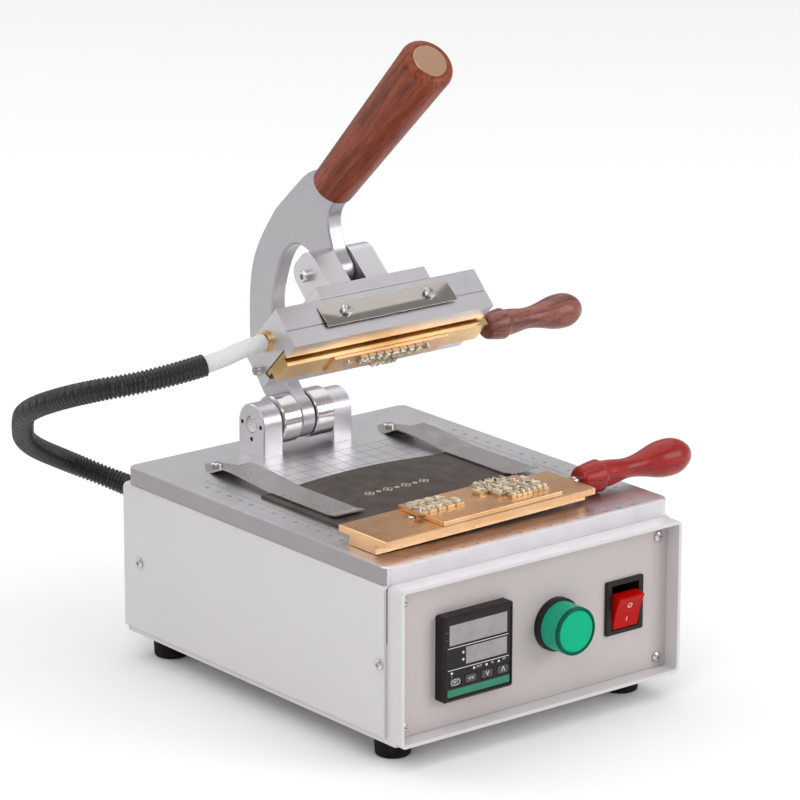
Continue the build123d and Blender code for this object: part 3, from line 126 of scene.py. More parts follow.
class Paint:
    """A material built around one Principled shader, with short calls for the usual textures."""

    def __init__(self, name, color, metallic=0.0, roughness=0.5, **sockets):
        self.material = bpy.data.materials.new(name)
        self.material.use_nodes = True
        self.tree = self.material.node_tree
        self.tree.nodes.clear()
        self.shader = self.tree.nodes.new("ShaderNodeBsdfPrincipled")
        output = self.tree.nodes.new("ShaderNodeOutputMaterial")
        self.link(self.shader.outputs["BSDF"], output.inputs["Surface"])
        self.shader.inputs["Base Color"].default_value = (*color, 1)
        self.shader.inputs["Metallic"].default_value = metallic
        self.shader.inputs["Roughness"].default_value = roughness
        for socket, value in sockets.items():
            self.shader.inputs[socket.replace("_", " ")].default_value = value
        self.last_bump = None

    def link(self, output, socket):
        self.tree.links.new(output, socket)

    def place(self, stretch=(1, 1, 1), turn=(0, 0, 0)):
        """Object coordinates, stretched and turned."""
        coordinates = self.tree.nodes.new("ShaderNodeTexCoord")
        mapping = self.tree.nodes.new("ShaderNodeMapping")
        mapping.vector_type = "TEXTURE"
        mapping.inputs["Rotation"].default_value = [radians(angle) for angle in turn]
        mapping.inputs["Scale"].default_value = stretch
        self.link(coordinates.outputs["Object"], mapping.inputs["Vector"])
        return mapping.outputs["Vector"]

    def noise(self, size_mm, detail=3, stretch=(1, 1, 1), turn=(0, 0, 0), distortion=0):
        node = self.tree.nodes.new("ShaderNodeTexNoise")
        node.inputs["Scale"].default_value = 1 / (size_mm * MM)
        node.inputs["Detail"].default_value = detail
        node.inputs["Distortion"].default_value = distortion
        self.link(self.place(stretch, turn), node.inputs["Vector"])
        return node.outputs["Fac"]

    def cells(self, size_mm, feature="DISTANCE_TO_EDGE", stretch=(1, 1, 1)):
        node = self.tree.nodes.new("ShaderNodeTexVoronoi")
        node.feature = feature
        node.inputs["Scale"].default_value = 1 / (size_mm * MM)
        self.link(self.place(stretch), node.inputs["Vector"])
        return node.outputs["Distance"]

    def between(self, factor, low, high, start=RAMP_START, end=RAMP_END):
        """Value that runs from low to high as the factor runs from start to end."""
        node = self.tree.nodes.new("ShaderNodeMapRange")
        limits = {"From Min": start, "From Max": end, "To Min": low, "To Max": high}
        for socket, value in limits.items():
            node.inputs[socket].default_value = value
        self.link(factor, node.inputs["Value"])
        return node.outputs["Result"]

    def blend(self, factor, *stops):
        """Colour ramp through the given (position, colour) stops."""
        node = self.tree.nodes.new("ShaderNodeValToRGB")
        elements = node.color_ramp.elements
        while len(elements) < len(stops):
            elements.new(0.5)
        for element, (position, color) in zip(elements, stops):
            element.position = position
            element.color = (*color, 1)
        self.link(factor, node.inputs["Fac"])
        return node.outputs["Color"]

    def mottle(self, factor, first, second):
        """Colour that runs from first to second over the middle of the factor's range."""
        return self.blend(factor, (RAMP_START, first), (RAMP_END, second))

    def multiply(self, first, second, amount=1.0):
        node = self.tree.nodes.new("ShaderNodeMix")
        node.data_type = "RGBA"
        node.blend_type = "MULTIPLY"
        node.inputs["Factor"].default_value = amount
        self.link(first, node.inputs["A"])
        self.link(second, node.inputs["B"])
        return node.outputs["Result"]

    def color(self, output):
        self.link(output, self.shader.inputs["Base Color"])

    def rough(self, output):
        self.link(output, self.shader.inputs["Roughness"])

    def bump(self, height, depth_mm, strength):
        """Adds a bump on top of those already there."""
        node = self.tree.nodes.new("ShaderNodeBump")
        node.inputs["Strength"].default_value = strength
        node.inputs["Distance"].default_value = depth_mm * MM
        self.link(height, node.inputs["Height"])
        if self.last_bump is not None:
            self.link(self.last_bump, node.inputs["Normal"])
        self.last_bump = node.outputs["Normal"]
        self.link(self.last_bump, self.shader.inputs["Normal"])
        return self


def shade(color, factor):
    """The colour, darker or lighter by the factor."""
    return tuple(channel * factor for channel in color)


def enamel(name, color):
    """Powder coat with a faint orange peel."""
    paint = Paint(name, color, roughness=0.42, Coat_Weight=0.12, Coat_Roughness=0.3)
    cloud = paint.noise(60, detail=4)
    paint.color(paint.mottle(cloud, shade(color, 0.975), color))
    paint.rough(paint.between(paint.noise(9), 0.34, 0.46))
    paint.bump(paint.noise(0.9, detail=2), 0.02, 0.25)
    return paint.bump(paint.noise(14, detail=1), 0.05, 0.12).material


def brushed_metal(name, color, roughness, grain, grain_mm=0.25, tone_and_reflection=(0.94, 0.94, 0.95)):
    """Metal with fine scratches along the stretched direction and clouds of darker tone; on the brass the
    deeper clouds are painted dark reflections.
    """
    paint = Paint(name, color, metallic=1.0, roughness=roughness)
    scratches = paint.noise(grain_mm, detail=4, stretch=grain)
    clouds = paint.noise(22, detail=4)
    paint.color(paint.multiply(paint.mottle(scratches, shade(color, 0.9), color),
                               paint.mottle(clouds, tone_and_reflection, (1, 1, 1))))
    paint.rough(paint.between(scratches, roughness * 0.82, roughness * 1.2))
    return paint.bump(scratches, 0.004, 0.35).material


def blasted_metal(name, color, roughness):
    """Bead-blasted, anodised aluminium."""
    paint = Paint(name, color, metallic=1.0, roughness=roughness)
    speckle = paint.noise(0.35, detail=3)
    clouds = paint.noise(35, detail=3)
    paint.color(paint.multiply(paint.mottle(speckle, shade(color, 0.93), color),
                               paint.mottle(clouds, (0.95, 0.95, 0.96), (1, 1, 1))))
    paint.rough(paint.between(paint.noise(6, detail=4), roughness * 0.9, roughness * 1.12))
    return paint.bump(speckle, 0.006, 0.3).material


def polished_metal(name, color, roughness, lines=(1, 1, 1)):
    """Smooth metal with faint turning lines and smears."""
    paint = Paint(name, color, metallic=1.0, roughness=roughness)
    turning = paint.noise(0.12, detail=3, stretch=lines)
    smears = paint.noise(11, detail=4)
    paint.color(paint.mottle(turning, shade(color, 0.92), color))
    paint.rough(paint.between(smears, roughness * 0.75, roughness * 1.5))
    return paint.bump(turning, 0.002, 0.3).material


def wood(name, dark, light, axis_turn, roughness, coat):
    """Turned wood with its grain along local X after the turn."""
    paint = Paint(name, light, roughness=roughness, Coat_Weight=coat, Coat_Roughness=0.16,
                  Specular_IOR_Level=0.25)
    figure = paint.noise(3.2, detail=5, stretch=(14, 1, 1), turn=axis_turn, distortion=0.7)
    pores = paint.noise(0.45, detail=3, stretch=(22, 1, 1), turn=axis_turn)
    middle = tuple((a + b) / 2 for a, b in zip(dark, light))
    growth = paint.blend(figure, (0.32, dark), (0.5, middle), (0.68, light))
    flecks = paint.blend(pores, (0.36, (0.5, 0.46, 0.44)), (0.5, (1, 1, 1)))
    paint.color(paint.multiply(growth, flecks, 0.75))
    paint.rough(paint.between(pores, roughness * 1.25, roughness * 0.9))
    return paint.bump(pores, 0.03, 0.25).material


def plastic(name, color, roughness, **sockets):
    """Moulded plastic with a fine grain."""
    paint = Paint(name, color, roughness=roughness, **sockets)
    grain = paint.noise(0.5, detail=2)
    paint.color(paint.mottle(paint.noise(7, detail=3), shade(color, 0.88), shade(color, 1.08)))
    paint.rough(paint.between(paint.noise(4, detail=3), roughness * 0.85, roughness * 1.15))
    return paint.bump(grain, 0.015, 0.3).material


def leather():
    """Black leather with pebbled grain and wider creases."""
    paint = Paint("black_leather", (0.06, 0.048, 0.042), roughness=0.55, Specular_IOR_Level=0.35)
    pebble = paint.cells(0.75, feature="SMOOTH_F1")
    creases = paint.cells(2.4)
    paint.color(paint.mottle(paint.noise(9, detail=5), (0.05, 0.038, 0.033), (0.09, 0.07, 0.06)))
    paint.rough(paint.between(pebble, 0.42, 0.6, start=0.1))
    paint.bump(pebble, 0.08, 0.5)
    return paint.bump(creases, 0.05, 0.2).material


def braid():
    """White woven heat sleeve."""
    paint = Paint("white_sleeve", (0.74, 0.74, 0.73), roughness=0.7, Sheen_Weight=0.2)
    weave = paint.cells(0.55, feature="F1", stretch=(1.8, 1, 1))
    paint.color(paint.blend(weave, (0.05, (0.80, 0.80, 0.79)), (0.6, (0.62, 0.62, 0.62))))
    return paint.bump(weave, 0.08, 0.5).material


def lens_green(name, color, emission):
    """Faintly glowing lamp plastic."""
    paint = Paint(name, color, roughness=0.24, Coat_Weight=0.05, Coat_Roughness=0.1, Specular_IOR_Level=0.1,
                  Emission_Color=(*color, 1), Emission_Strength=emission)
    paint.color(paint.mottle(paint.noise(5, detail=2), shade(color, 0.93), color))
    paint.rough(paint.between(paint.noise(3), 0.18, 0.28))
    return paint.bump(paint.cells(0.8, feature="F1"), 0.03, 0.15).material


def rubber():
    """Dull black rubber."""
    paint = Paint("foot_rubber", (0.014, 0.012, 0.012), roughness=0.75, Specular_IOR_Level=0.1)
    paint.color(paint.mottle(paint.noise(3, detail=4), (0.008, 0.007, 0.007), (0.018, 0.016, 0.016)))
    paint.rough(paint.between(paint.noise(2), 0.6, 0.82))
    return paint.bump(paint.noise(0.3), 0.03, 0.3).material


def ink(name, color, roughness=0.55):
    """Print, engraving or foil."""
    paint = Paint(name, color, roughness=roughness)
    paint.color(paint.mottle(paint.noise(0.6, detail=3), shade(color, 0.85), color))
    return paint.material


LOOKS = {
    "enamel": enamel("enamel", (0.67, 0.645, 0.66)),
    "panel_grey": enamel("panel_grey", (0.545, 0.49, 0.48)),
    "zinc_steel": polished_metal("zinc_steel", (0.66, 0.65, 0.64), 0.2),
    "black_steel": plastic("black_steel", (0.018, 0.018, 0.02), 0.42, Specular_IOR_Level=0.35),
    "foot_rubber": rubber(),
    "satin_aluminium": blasted_metal("satin_aluminium", (0.66, 0.64, 0.665), 0.36),
    "bright_steel": polished_metal("bright_steel", (0.62, 0.59, 0.58), 0.16, lines=(1, 60, 60)),
    "spring_steel": polished_metal("spring_steel", (0.4, 0.4, 0.42), 0.3),
    "black_leather": leather(),
    "black_plastic": plastic("black_plastic", (0.014, 0.011, 0.011), 0.45, Specular_IOR_Level=0.25),
    "display_grey": plastic("display_grey", (0.30, 0.27, 0.275), 0.22, Coat_Weight=0.6, Coat_Roughness=0.05),
    "green_lens": lens_green("green_lens", (0.0, 0.41, 0.21), 0.10),
    "relay_grey": plastic("relay_grey", (0.6, 0.6, 0.58), 0.5),
    "conduit_black": plastic("conduit_black", (0.012, 0.010, 0.011), 0.28),
    "walnut": wood("walnut", (0.13, 0.024, 0.009), (0.33, 0.068, 0.028), (0, -45, -90), 0.42, 0.1),
    "copper_disc": brushed_metal("copper_disc", (0.52, 0.32, 0.21), 0.38, grain=(12, 1, 1)),
    # Type brass: its deep, browner clouds are painted dark reflections.
    "brass_type": brushed_metal("brass_type", (0.82, 0.56, 0.27), 0.22, grain=(30, 1, 1),
                                tone_and_reflection=(0.72, 0.60, 0.46)),
    "white_sleeve": braid(),
    "red_lacquer": wood("red_lacquer", (0.26, 0.008, 0.006), (0.42, 0.014, 0.010), (0, 0, 0), 0.3, 0.2),
    "red_rocker": plastic("red_rocker", (0.47, 0.003, 0.002), 0.24, Specular_IOR_Level=0.1),
    "key_grey": plastic("key_grey", (0.055, 0.05, 0.05), 0.5),
}
# Looks that the CAD's slots don't tell apart; two are darkened copies with painted light: painted shade on
# the table's sides, and the face strip's steel with a dark reflection painted in.
ARM_METAL = blasted_metal("arm_metal", (0.47, 0.455, 0.475), 0.34)
CLIP_STEEL = polished_metal("clip_steel", (0.50, 0.47, 0.47), 0.28)
# Darker copy of the table's metal for its left and right sides: painted shade.
TABLE_SIDE_SHADE = brushed_metal("table_side_shade", (0.40, 0.37, 0.385), 0.42, grain=(40, 40, 1), grain_mm=0.3)
TABLE_METAL = brushed_metal("table_metal", (0.76, 0.745, 0.77), 0.38, grain=(40, 1, 40), grain_mm=0.3)
# Spare plate brass: its deeper clouds are painted dark reflections too.
SPARE_BRASS = brushed_metal("spare_brass", (0.88, 0.56, 0.32), 0.30, grain=(40, 1, 1),
                            tone_and_reflection=(0.84, 0.77, 0.68))
LETTER_BRASS = polished_metal("letter_brass", (0.93, 0.87, 0.74), 0.42)
SORT_SIDE = polished_metal("sort_side", (0.62, 0.50, 0.34), 0.4)
# Face strip steel with its colour darkened: a painted dark reflection of the surroundings.
DARK_REFLECTION_STEEL = polished_metal("dark_reflection_steel", (0.38, 0.35, 0.325), 0.1)
HANDLE_WOOD = wood("handle_wood", (0.12, 0.034, 0.024), (0.34, 0.11, 0.085), (0, 0, 0), 0.36, 0.3)
LENS_RIM = lens_green("lens_rim", (0.0, 0.10, 0.055), 0.02)
LENS_SIDE = lens_green("lens_side", (0.02, 0.36, 0.22), 0.06)
ENGRAVED = ink("engraved", (0.10, 0.09, 0.095), 0.6)
PRINT_WHITE = ink("print_white", (0.78, 0.76, 0.76))
PRINT_GREEN = ink("print_green", (0.015, 0.22, 0.13))
GOLD_FOIL = ink("gold_foil", (0.74, 0.68, 0.54), 0.35)
CUT_EDGE = ink("cut_edge", (0.35, 0.33, 0.31), 0.8)


def paint_with(piece, material):
    piece.data.materials.clear()
    piece.data.materials.append(material)


for subpart in frame["record"]["subparts"]:
    paint_with(nodes[subpart["node"]], LOOKS[subpart["material_slot"]])


# ================================================================ mesh helpers
BEVEL_ANGLE = 32
WELD_DISTANCE = 0.002 * MM
FLAT_ANGLE = 0.6


def new_piece(name, mesh, material, body=None):
    piece = bpy.data.objects.new(name, mesh)
    scene.collection.objects.link(piece)
    paint_with(piece, material)
    if body:
        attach(piece, body)
    return piece


def finished(name, work):
    """The bmesh as a mesh; the bmesh is freed."""
    mesh = bpy.data.meshes.new(name)
    work.to_mesh(mesh)
    work.free()
    return mesh


def smooth_by_angle(mesh, angle=30):
    for polygon in mesh.polygons:
        polygon.use_smooth = True
    mesh.set_sharp_from_angle(angle=radians(angle))


def applied(piece):
    """Replaces the piece's mesh with its evaluated one, so that no modifier is left."""
    depsgraph = bpy.context.evaluated_depsgraph_get()
    piece.data = bpy.data.meshes.new_from_object(piece.evaluated_get(depsgraph))
    piece.modifiers.clear()
    return piece


def bevel(piece, width_mm, segments=3):
    """Rounds the piece's hard edges and keeps its flat faces flat in shading."""
    modifier = piece.modifiers.new("bevel", "BEVEL")
    modifier.width = width_mm * MM
    modifier.segments = segments
    modifier.limit_method = "ANGLE"
    modifier.angle_limit = radians(BEVEL_ANGLE)
    modifier.harden_normals = True
    return applied(piece)


def clean_copy(node):
    """A welded copy of a CAD node's mesh with its flat faces joined."""
    work = bmesh.new()
    work.from_mesh(nodes[node].data)
    bmesh.ops.remove_doubles(work, verts=work.verts, dist=WELD_DISTANCE)
    bmesh.ops.dissolve_limit(work, angle_limit=radians(FLAT_ANGLE), verts=work.verts, edges=work.edges)
    mesh = finished(node + "_soft", work)
    if "custom_normal" in mesh.attributes:
        mesh.attributes.remove(mesh.attributes["custom_normal"])
    smooth_by_angle(mesh)
    return mesh


def soften(node, width_mm, material=None):
    """Stands a copy with rounded edges in for a CAD node."""
    piece = new_piece(node + "_soft", clean_copy(node), material or nodes[node].data.materials[0])
    bevel(piece, width_mm)
    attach(piece, nodes[node]["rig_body"])
    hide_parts(node)
    return piece


def boxes(name, rows, material, place=Matrix.Identity(4)):
    """One mesh of boxes: each row is (x, y, z, width, depth, height) about its centre, in mm."""
    work = bmesh.new()
    for x, y, z, width, depth, height in rows:
        size = Matrix.Diagonal((width * MM, depth * MM, height * MM, 1))
        bmesh.ops.create_cube(work, size=1, matrix=Matrix.Translation(Vector((x, y, z)) * MM) @ size)
    mesh = finished(name, work)
    mesh.transform(place)
    return new_piece(name, mesh, material)


def lathe(name, outline, place, material, steps=96, close=False):
    """Turned shape: outline is (distance along local Z, radius) in mm; close joins its ends, for a ring."""
    rings = []
    work = bmesh.new()
    for along, radius in outline:
        if radius == 0:
            rings.append([work.verts.new((0, 0, along * MM))])
            continue
        angles = [2 * pi * i / steps for i in range(steps)]
        rings.append([work.verts.new((radius * MM * cos(angle), radius * MM * sin(angle), along * MM))
                      for angle in angles])
    pairs = list(zip(rings, rings[1:]))
    if close:
        pairs.append((rings[-1], rings[0]))
    for first, second in pairs:
        for i in range(steps):
            j = (i + 1) % steps
            corners = [first[i % len(first)], first[j % len(first)],
                       second[j % len(second)], second[i % len(second)]]
            work.faces.new(list(dict.fromkeys(corners)))
    bmesh.ops.recalc_face_normals(work, faces=work.faces)
    mesh = finished(name, work)
    mesh.transform(place)
    smooth_by_angle(mesh, 35)
    return new_piece(name, mesh, material)


def glyphs(name, text, size_mm, height_mm, place, material, bevel_mm=0.0, mirrored=False):
    """Solid lettering centred on the place, standing height_mm proud of it."""
    curve = bpy.data.curves.new(name, "FONT")
    curve.body = text
    curve.size = size_mm * MM
    curve.align_x = "CENTER"
    curve.align_y = "CENTER"
    curve.extrude = height_mm * MM / 2
    curve.bevel_depth = bevel_mm * MM
    curve.bevel_resolution = 1
    curve.resolution_u = 3
    text_object = bpy.data.objects.new(name, curve)
    scene.collection.objects.link(text_object)
    depsgraph = bpy.context.evaluated_depsgraph_get()
    mesh = bpy.data.meshes.new_from_object(text_object.evaluated_get(depsgraph))
    bpy.data.objects.remove(text_object)
    mesh.transform(Matrix.Translation((0, 0, height_mm * MM / 2)))
    if mirrored:
        mesh.transform(Matrix.Diagonal((-1, 1, 1, 1)))
        mesh.flip_normals()
    mesh.transform(place)
    return new_piece(name, mesh, material)


def joined(name, pieces):
    """Joins pieces into one mesh object, keeping each one's material."""
    work = bmesh.new()
    materials = []
    for piece in pieces:
        material = piece.data.materials[0]
        if material not in materials:
            materials.append(material)
        start = len(work.faces)
        work.from_mesh(piece.data)
        work.faces.ensure_lookup_table()
        for face in work.faces[start:]:
            face.material_index = materials.index(material)
        bpy.data.objects.remove(piece)
    mesh = finished(name, work)
    piece = bpy.data.objects.new(name, mesh)
    scene.collection.objects.link(piece)
    for material in materials:
        mesh.materials.append(material)
    return piece


# ================================================================ conduit and sleeve
CONDUIT_DIAMETER = 12.5
# Control points of the conduit's spline in metres, from the heat sleeve to the gland on the rear panel.
CONDUIT_ROUTE = [
    (-0.1326, 0.0305, 0.1923),
    (-0.1596, 0.0350, 0.1880),
    (-0.1936, 0.0630, 0.1800),
    (-0.1956, 0.1090, 0.1610),
    (-0.1676, 0.1550, 0.1370),
    (-0.1436, 0.1890, 0.1130),
    (-0.1056, 0.2010, 0.0920),
    (-0.0756, 0.1740, 0.0760),
    (-0.0756, 0.1331, 0.0760),
]
RIB_PITCH, RIB_DEPTH = 2.4, 0.9
# Depth of each of a rib's rings, as a share of RIB_DEPTH: flat crest, narrow valley.
RIB_PROFILE = (0.0, 0.0, 0.1, 0.85, 1.0, 0.85)
SLEEVE_DIAMETER = 9.5
SLEEVE_ENTRY = (-71.9, -95.3, 3.0)           # in the head's end, as arm_point takes it
SLEEVE_LEAD = Vector((-0.016, 0, -0.0018))   # from the entry to the first bend
SLEEVE_RUN_IN = 0.012                        # straight stretch before the conduit
SLEEVE_OVERLAP = 0.004                       # length inside the conduit
SLEEVE_STEP = 0.0012
SPLINE_STEPS = 24


def spline_path(name, route):
    """Points along the NURBS spline with the route as its control points."""
    curve = bpy.data.curves.new(name, "CURVE")
    curve.dimensions = "3D"
    spline = curve.splines.new("NURBS")
    spline.points.add(len(route) - 1)
    for point, place in zip(spline.points, route):
        point.co = (*place, 1)
    spline.order_u = 3
    spline.use_endpoint_u = True
    spline.resolution_u = SPLINE_STEPS
    holder = bpy.data.objects.new(name, curve)
    scene.collection.objects.link(holder)
    depsgraph = bpy.context.evaluated_depsgraph_get()
    mesh = holder.evaluated_get(depsgraph).to_mesh()
    points = [vertex.co.copy() for vertex in mesh.vertices]
    bpy.data.objects.remove(holder)
    return points


def evenly(points, step):
    """The path's points again at an even step, with the total length."""
    lengths = [0.0]
    for first, second in zip(points, points[1:]):
        lengths.append(lengths[-1] + (second - first).length)
    count = max(2, round(lengths[-1] / step))
    even, index = [], 0
    for i in range(count + 1):
        target = lengths[-1] * i / count
        while index < len(points) - 2 and lengths[index + 1] < target:
            index += 1
        share = (target - lengths[index]) / max(1e-9, lengths[index + 1] - lengths[index])
        even.append(points[index].lerp(points[index + 1], min(1, max(0, share))))
    return even, lengths[-1]


def tube(name, points, radius_at, material):
    """Mesh tube along the points; radius_at(i) is the radius in metres at point i."""
    sides = 40
    work = bmesh.new()
    rings = []
    side = None
    for i, point in enumerate(points):
        ahead = (points[min(i + 1, len(points) - 1)] - points[max(i - 1, 0)]).normalized()
        if side is None:
            side = ahead.cross(Vector((0, 0, 1))).normalized()
        side = (side - ahead * side.dot(ahead)).normalized()
        other = ahead.cross(side)
        radius = radius_at(i)
        angles = [2 * pi * k / sides for k in range(sides)]
        rings.append([work.verts.new(point + (side * cos(angle) + other * sin(angle)) * radius)
                      for angle in angles])
    for first, second in zip(rings, rings[1:]):
        for k in range(sides):
            j = (k + 1) % sides
            work.faces.new((first[k], first[j], second[j], second[k]))
    work.faces.new(list(reversed(rings[0])))
    work.faces.new(rings[-1])
    bmesh.ops.recalc_face_normals(work, faces=work.faces)
    mesh = finished(name, work)
    smooth_by_angle(mesh, 60)
    return new_piece(name, mesh, material)


def conduit_radius(i):
    """Outer radius of the corrugated wall at ring i."""
    return (CONDUIT_DIAMETER / 2 - RIB_DEPTH * RIB_PROFILE[i % len(RIB_PROFILE)]) * MM


conduit_points, conduit_length = evenly(spline_path("conduit_route", CONDUIT_ROUTE),
                                        RIB_PITCH * MM / len(RIB_PROFILE))
conduit_tube = tube("corrugated_conduit", conduit_points, conduit_radius, LOOKS["conduit_black"])
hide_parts("conduit")
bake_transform(conduit_tube)

entry = arm_point(*SLEEVE_ENTRY)
sleeve_end = Vector(CONDUIT_ROUTE[0])
conduit_start = (Vector(CONDUIT_ROUTE[1]) - sleeve_end).normalized()
sleeve_route = [entry, entry + SLEEVE_LEAD, sleeve_end - conduit_start * SLEEVE_RUN_IN,
                sleeve_end + conduit_start * SLEEVE_OVERLAP]
sleeve_points = evenly(spline_path("sleeve_route", sleeve_route), SLEEVE_STEP)[0]
sleeve = tube("braided_sleeve", sleeve_points, lambda i: SLEEVE_DIAMETER / 2 * MM, LOOKS["white_sleeve"])
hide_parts("heat_sleeve")
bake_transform(sleeve)

# ================================================================ rounded edges on the CAD's shapes
SIDE_FACING = 0.7                            # a face is one of the table's sides above this |normal.x|
table_piece = soften("table_plate", 0.5, TABLE_METAL)
# The table's left and right sides take the darker copy of its metal: painted shade.
table_piece.data.materials.append(TABLE_SIDE_SHADE)
for polygon in table_piece.data.polygons:
    if abs(polygon.normal.x) > SIDE_FACING:
        polygon.material_index = 1
# Each row is (node, edge radius in mm, material if not the slot's own).
SOFTENED = [
    ("hinge_blocks", 0.35, None), ("arm_plate", 0.35, ARM_METAL), ("bracket", 0.45, None),
    ("head_block", 0.5, None), ("front_panel", 0.3, None), ("housing", 0.45, None), ("cover", 0.4, None),
    ("rear_panel", 0.3, None), ("bar_holder", 0.35, None), ("spare_plate", 0.35, SPARE_BRASS),
    ("switch_frame", 0.35, None), ("rocker", 0.6, None), ("lamp_body", 0.4, None),
    # The face strip's steel carries a painted dark reflection.
    ("face_strip", 0.2, DARK_REFLECTION_STEEL), ("case_screws", 0.15, None), ("strip_screws", 0.25, None),
    ("clip_screws", 0.2, None), ("bracket_screws", 0.2, None), ("feet", 0.3, None),
]
for node, edge_radius, material in SOFTENED:
    soften(node, edge_radius, material)
paint_with(nodes["work_clips"], CLIP_STEEL)
paint_with(nodes["bar_handle"], HANDLE_WOOD)

# ================================================================ brass type
TYPE_HEIGHT = 2.9
SORT_PITCH = 0.86                            # shares of the letter size
SHOULDER_DEPTH, LETTER_SIZE = 0.98, 1.12
SHOULDER_WIDTH = 0.9                         # share of the pitch
SHOULDER_HEIGHT, LETTER_FOOT = 0.56, 0.5     # shares of the type height
HEAD_TYPE_SIZE = (80, 14.4, 1.8)
HEAD_TYPE_AT = (-93.4, -17.22)               # u and w of the bar's underside
HEAD_ROWS = [("ABCDEFGH", 0, 2.6, 6.4), ("KLMN", -1, -3.9, 5.2)]
SPARE_TYPE_SIZE = (83, 39, 2.6)
SPARE_TYPE_ALONG = 81.5                      # from the holder's left end
SPARE_ROWS = [("ABCD", -31, 9.5, 7.2), ("EFGHK", -29, 0.5, 7.2), ("LMNP", 18, 14.0, 6.6),
              ("RSTUVW", 20, 6.0, 7.2), ("XYZ&E", 23, -2.2, 7.2), ("abcdefg", 25, -10.0, 4.4)]


def type_sorts(name, rows, place, body):
    """Rows of single raised letters, each on its own small shoulder, mirrored as type is.

    Each row is (text, centre x, centre y, letter size), in mm on the plane."""
    pieces = []
    for text, centre_x, centre_y, size in rows:
        pitch = size * SORT_PITCH
        for index, letter in enumerate(text):
            x = centre_x + pitch * ((len(text) - 1) / 2 - index)
            at = place @ Matrix.Translation(Vector((x, centre_y, 0)) * MM)
            rise = TYPE_HEIGHT * SHOULDER_HEIGHT
            block = (0, 0, rise / 2, pitch * SHOULDER_WIDTH, size * SHOULDER_DEPTH, rise)
            shoulder = boxes(name + "_shoulder", [block], SORT_SIDE, at)
            bevel(shoulder, 0.12, 2)
            foot = TYPE_HEIGHT * LETTER_FOOT
            face = at @ Matrix.Translation((0, 0, foot * MM))
            raised = glyphs(name + letter, letter, size * LETTER_SIZE, TYPE_HEIGHT - foot, face, LETTER_BRASS,
                            bevel_mm=0.03, mirrored=True)
            pieces += [shoulder, raised]
    group = joined(name, pieces)
    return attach(group, body)


def type_backing(name, size, place, body, corner_mm):
    """Brass plate under the letters: size is (width, depth, height) in mm, standing on the place."""
    backing = boxes(name, [(0, 0, size[2] / 2, *size)], SPARE_BRASS, place)
    bevel(backing, corner_mm)
    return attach(backing, body)


# Type in the head, face down on the bar's underside.
bar_low, bar_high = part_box("bar_type")
bar_centre_x = ((bar_low.x + bar_high.x) / 2 - HINGE.x) / MM
bar_plane = frame_at(arm_point(bar_centre_x, *HEAD_TYPE_AT), RIGHT, -UP)
bar_backing = type_backing("bar_type_backing", HEAD_TYPE_SIZE, bar_plane, "installed_holder", 0.25)
bar_face = bar_plane @ Matrix.Translation((0, 0, HEAD_TYPE_SIZE[2] * MM))
type_sorts("bar_type_sorts", HEAD_ROWS, bar_face, "installed_holder")
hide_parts("bar_type")

# Type on the spare plate, face up.
SPARE_TILT = radians(0.76)
spare_along = Vector((cos(SPARE_TILT), 0, sin(SPARE_TILT)))
spare_normal = Vector((-sin(SPARE_TILT), 0, cos(SPARE_TILT)))
SPARE_CORNER = DATUM + Vector((-90.0, -80.0, 112.3)) * MM
SPARE_TOP = 9.02


def spare_plane(along, height):
    """Plane on the spare holder, along mm from SPARE_CORNER and height mm above it, square to the plate."""
    at = SPARE_CORNER + spare_along * along * MM + spare_normal * height * MM
    return frame_at(at, spare_along, spare_normal)


spare_backing = type_backing("spare_type_backing", SPARE_TYPE_SIZE, spare_plane(SPARE_TYPE_ALONG, SPARE_TOP),
                             "spare_holder", 0.35)
spare_face = spare_plane(SPARE_TYPE_ALONG, SPARE_TOP + SPARE_TYPE_SIZE[2])
type_sorts("spare_type_sorts", SPARE_ROWS, spare_face, "spare_holder")
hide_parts("spare_type")

# ================================================================ table engraving
TABLE_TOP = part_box("table_plate")[1].z / MM
LINE = 0.22
MARK_PROUD = 0.03
GRID_X, GRID_Y, GRID_STEP = (-50, 50), (-50, 70), 10
TICK_STEP, LONG_TICK, SHORT_TICK = 2, 5, 2.6
SIDE_RULER_X, SIDE_RULER_Y = 84, (-100, 70)
FRONT_RULER_X, FRONT_RULER_Y = (-80, 80), -101
RULER_NUMBERS = range(1, 17)
SIDE_NUMBER_X, SIDE_NUMBER_SIZE = 88.5, 3.6
FRONT_NUMBER_Y, FRONT_NUMBER_SIZE = -109.3, 3.4


def tick_length(step):
    """Every fifth tick of a ruler is a long one."""
    return LONG_TICK if step % 5 == 0 else SHORT_TICK


def on_table(x, y, x_axis, lift=0):
    """Plane facing up, lift mm above the table's top, at X and Y in mm from the datum."""
    return frame_at(DATUM + Vector((x, y, TABLE_TOP + lift)) * MM, x_axis, (0, 0, 1))


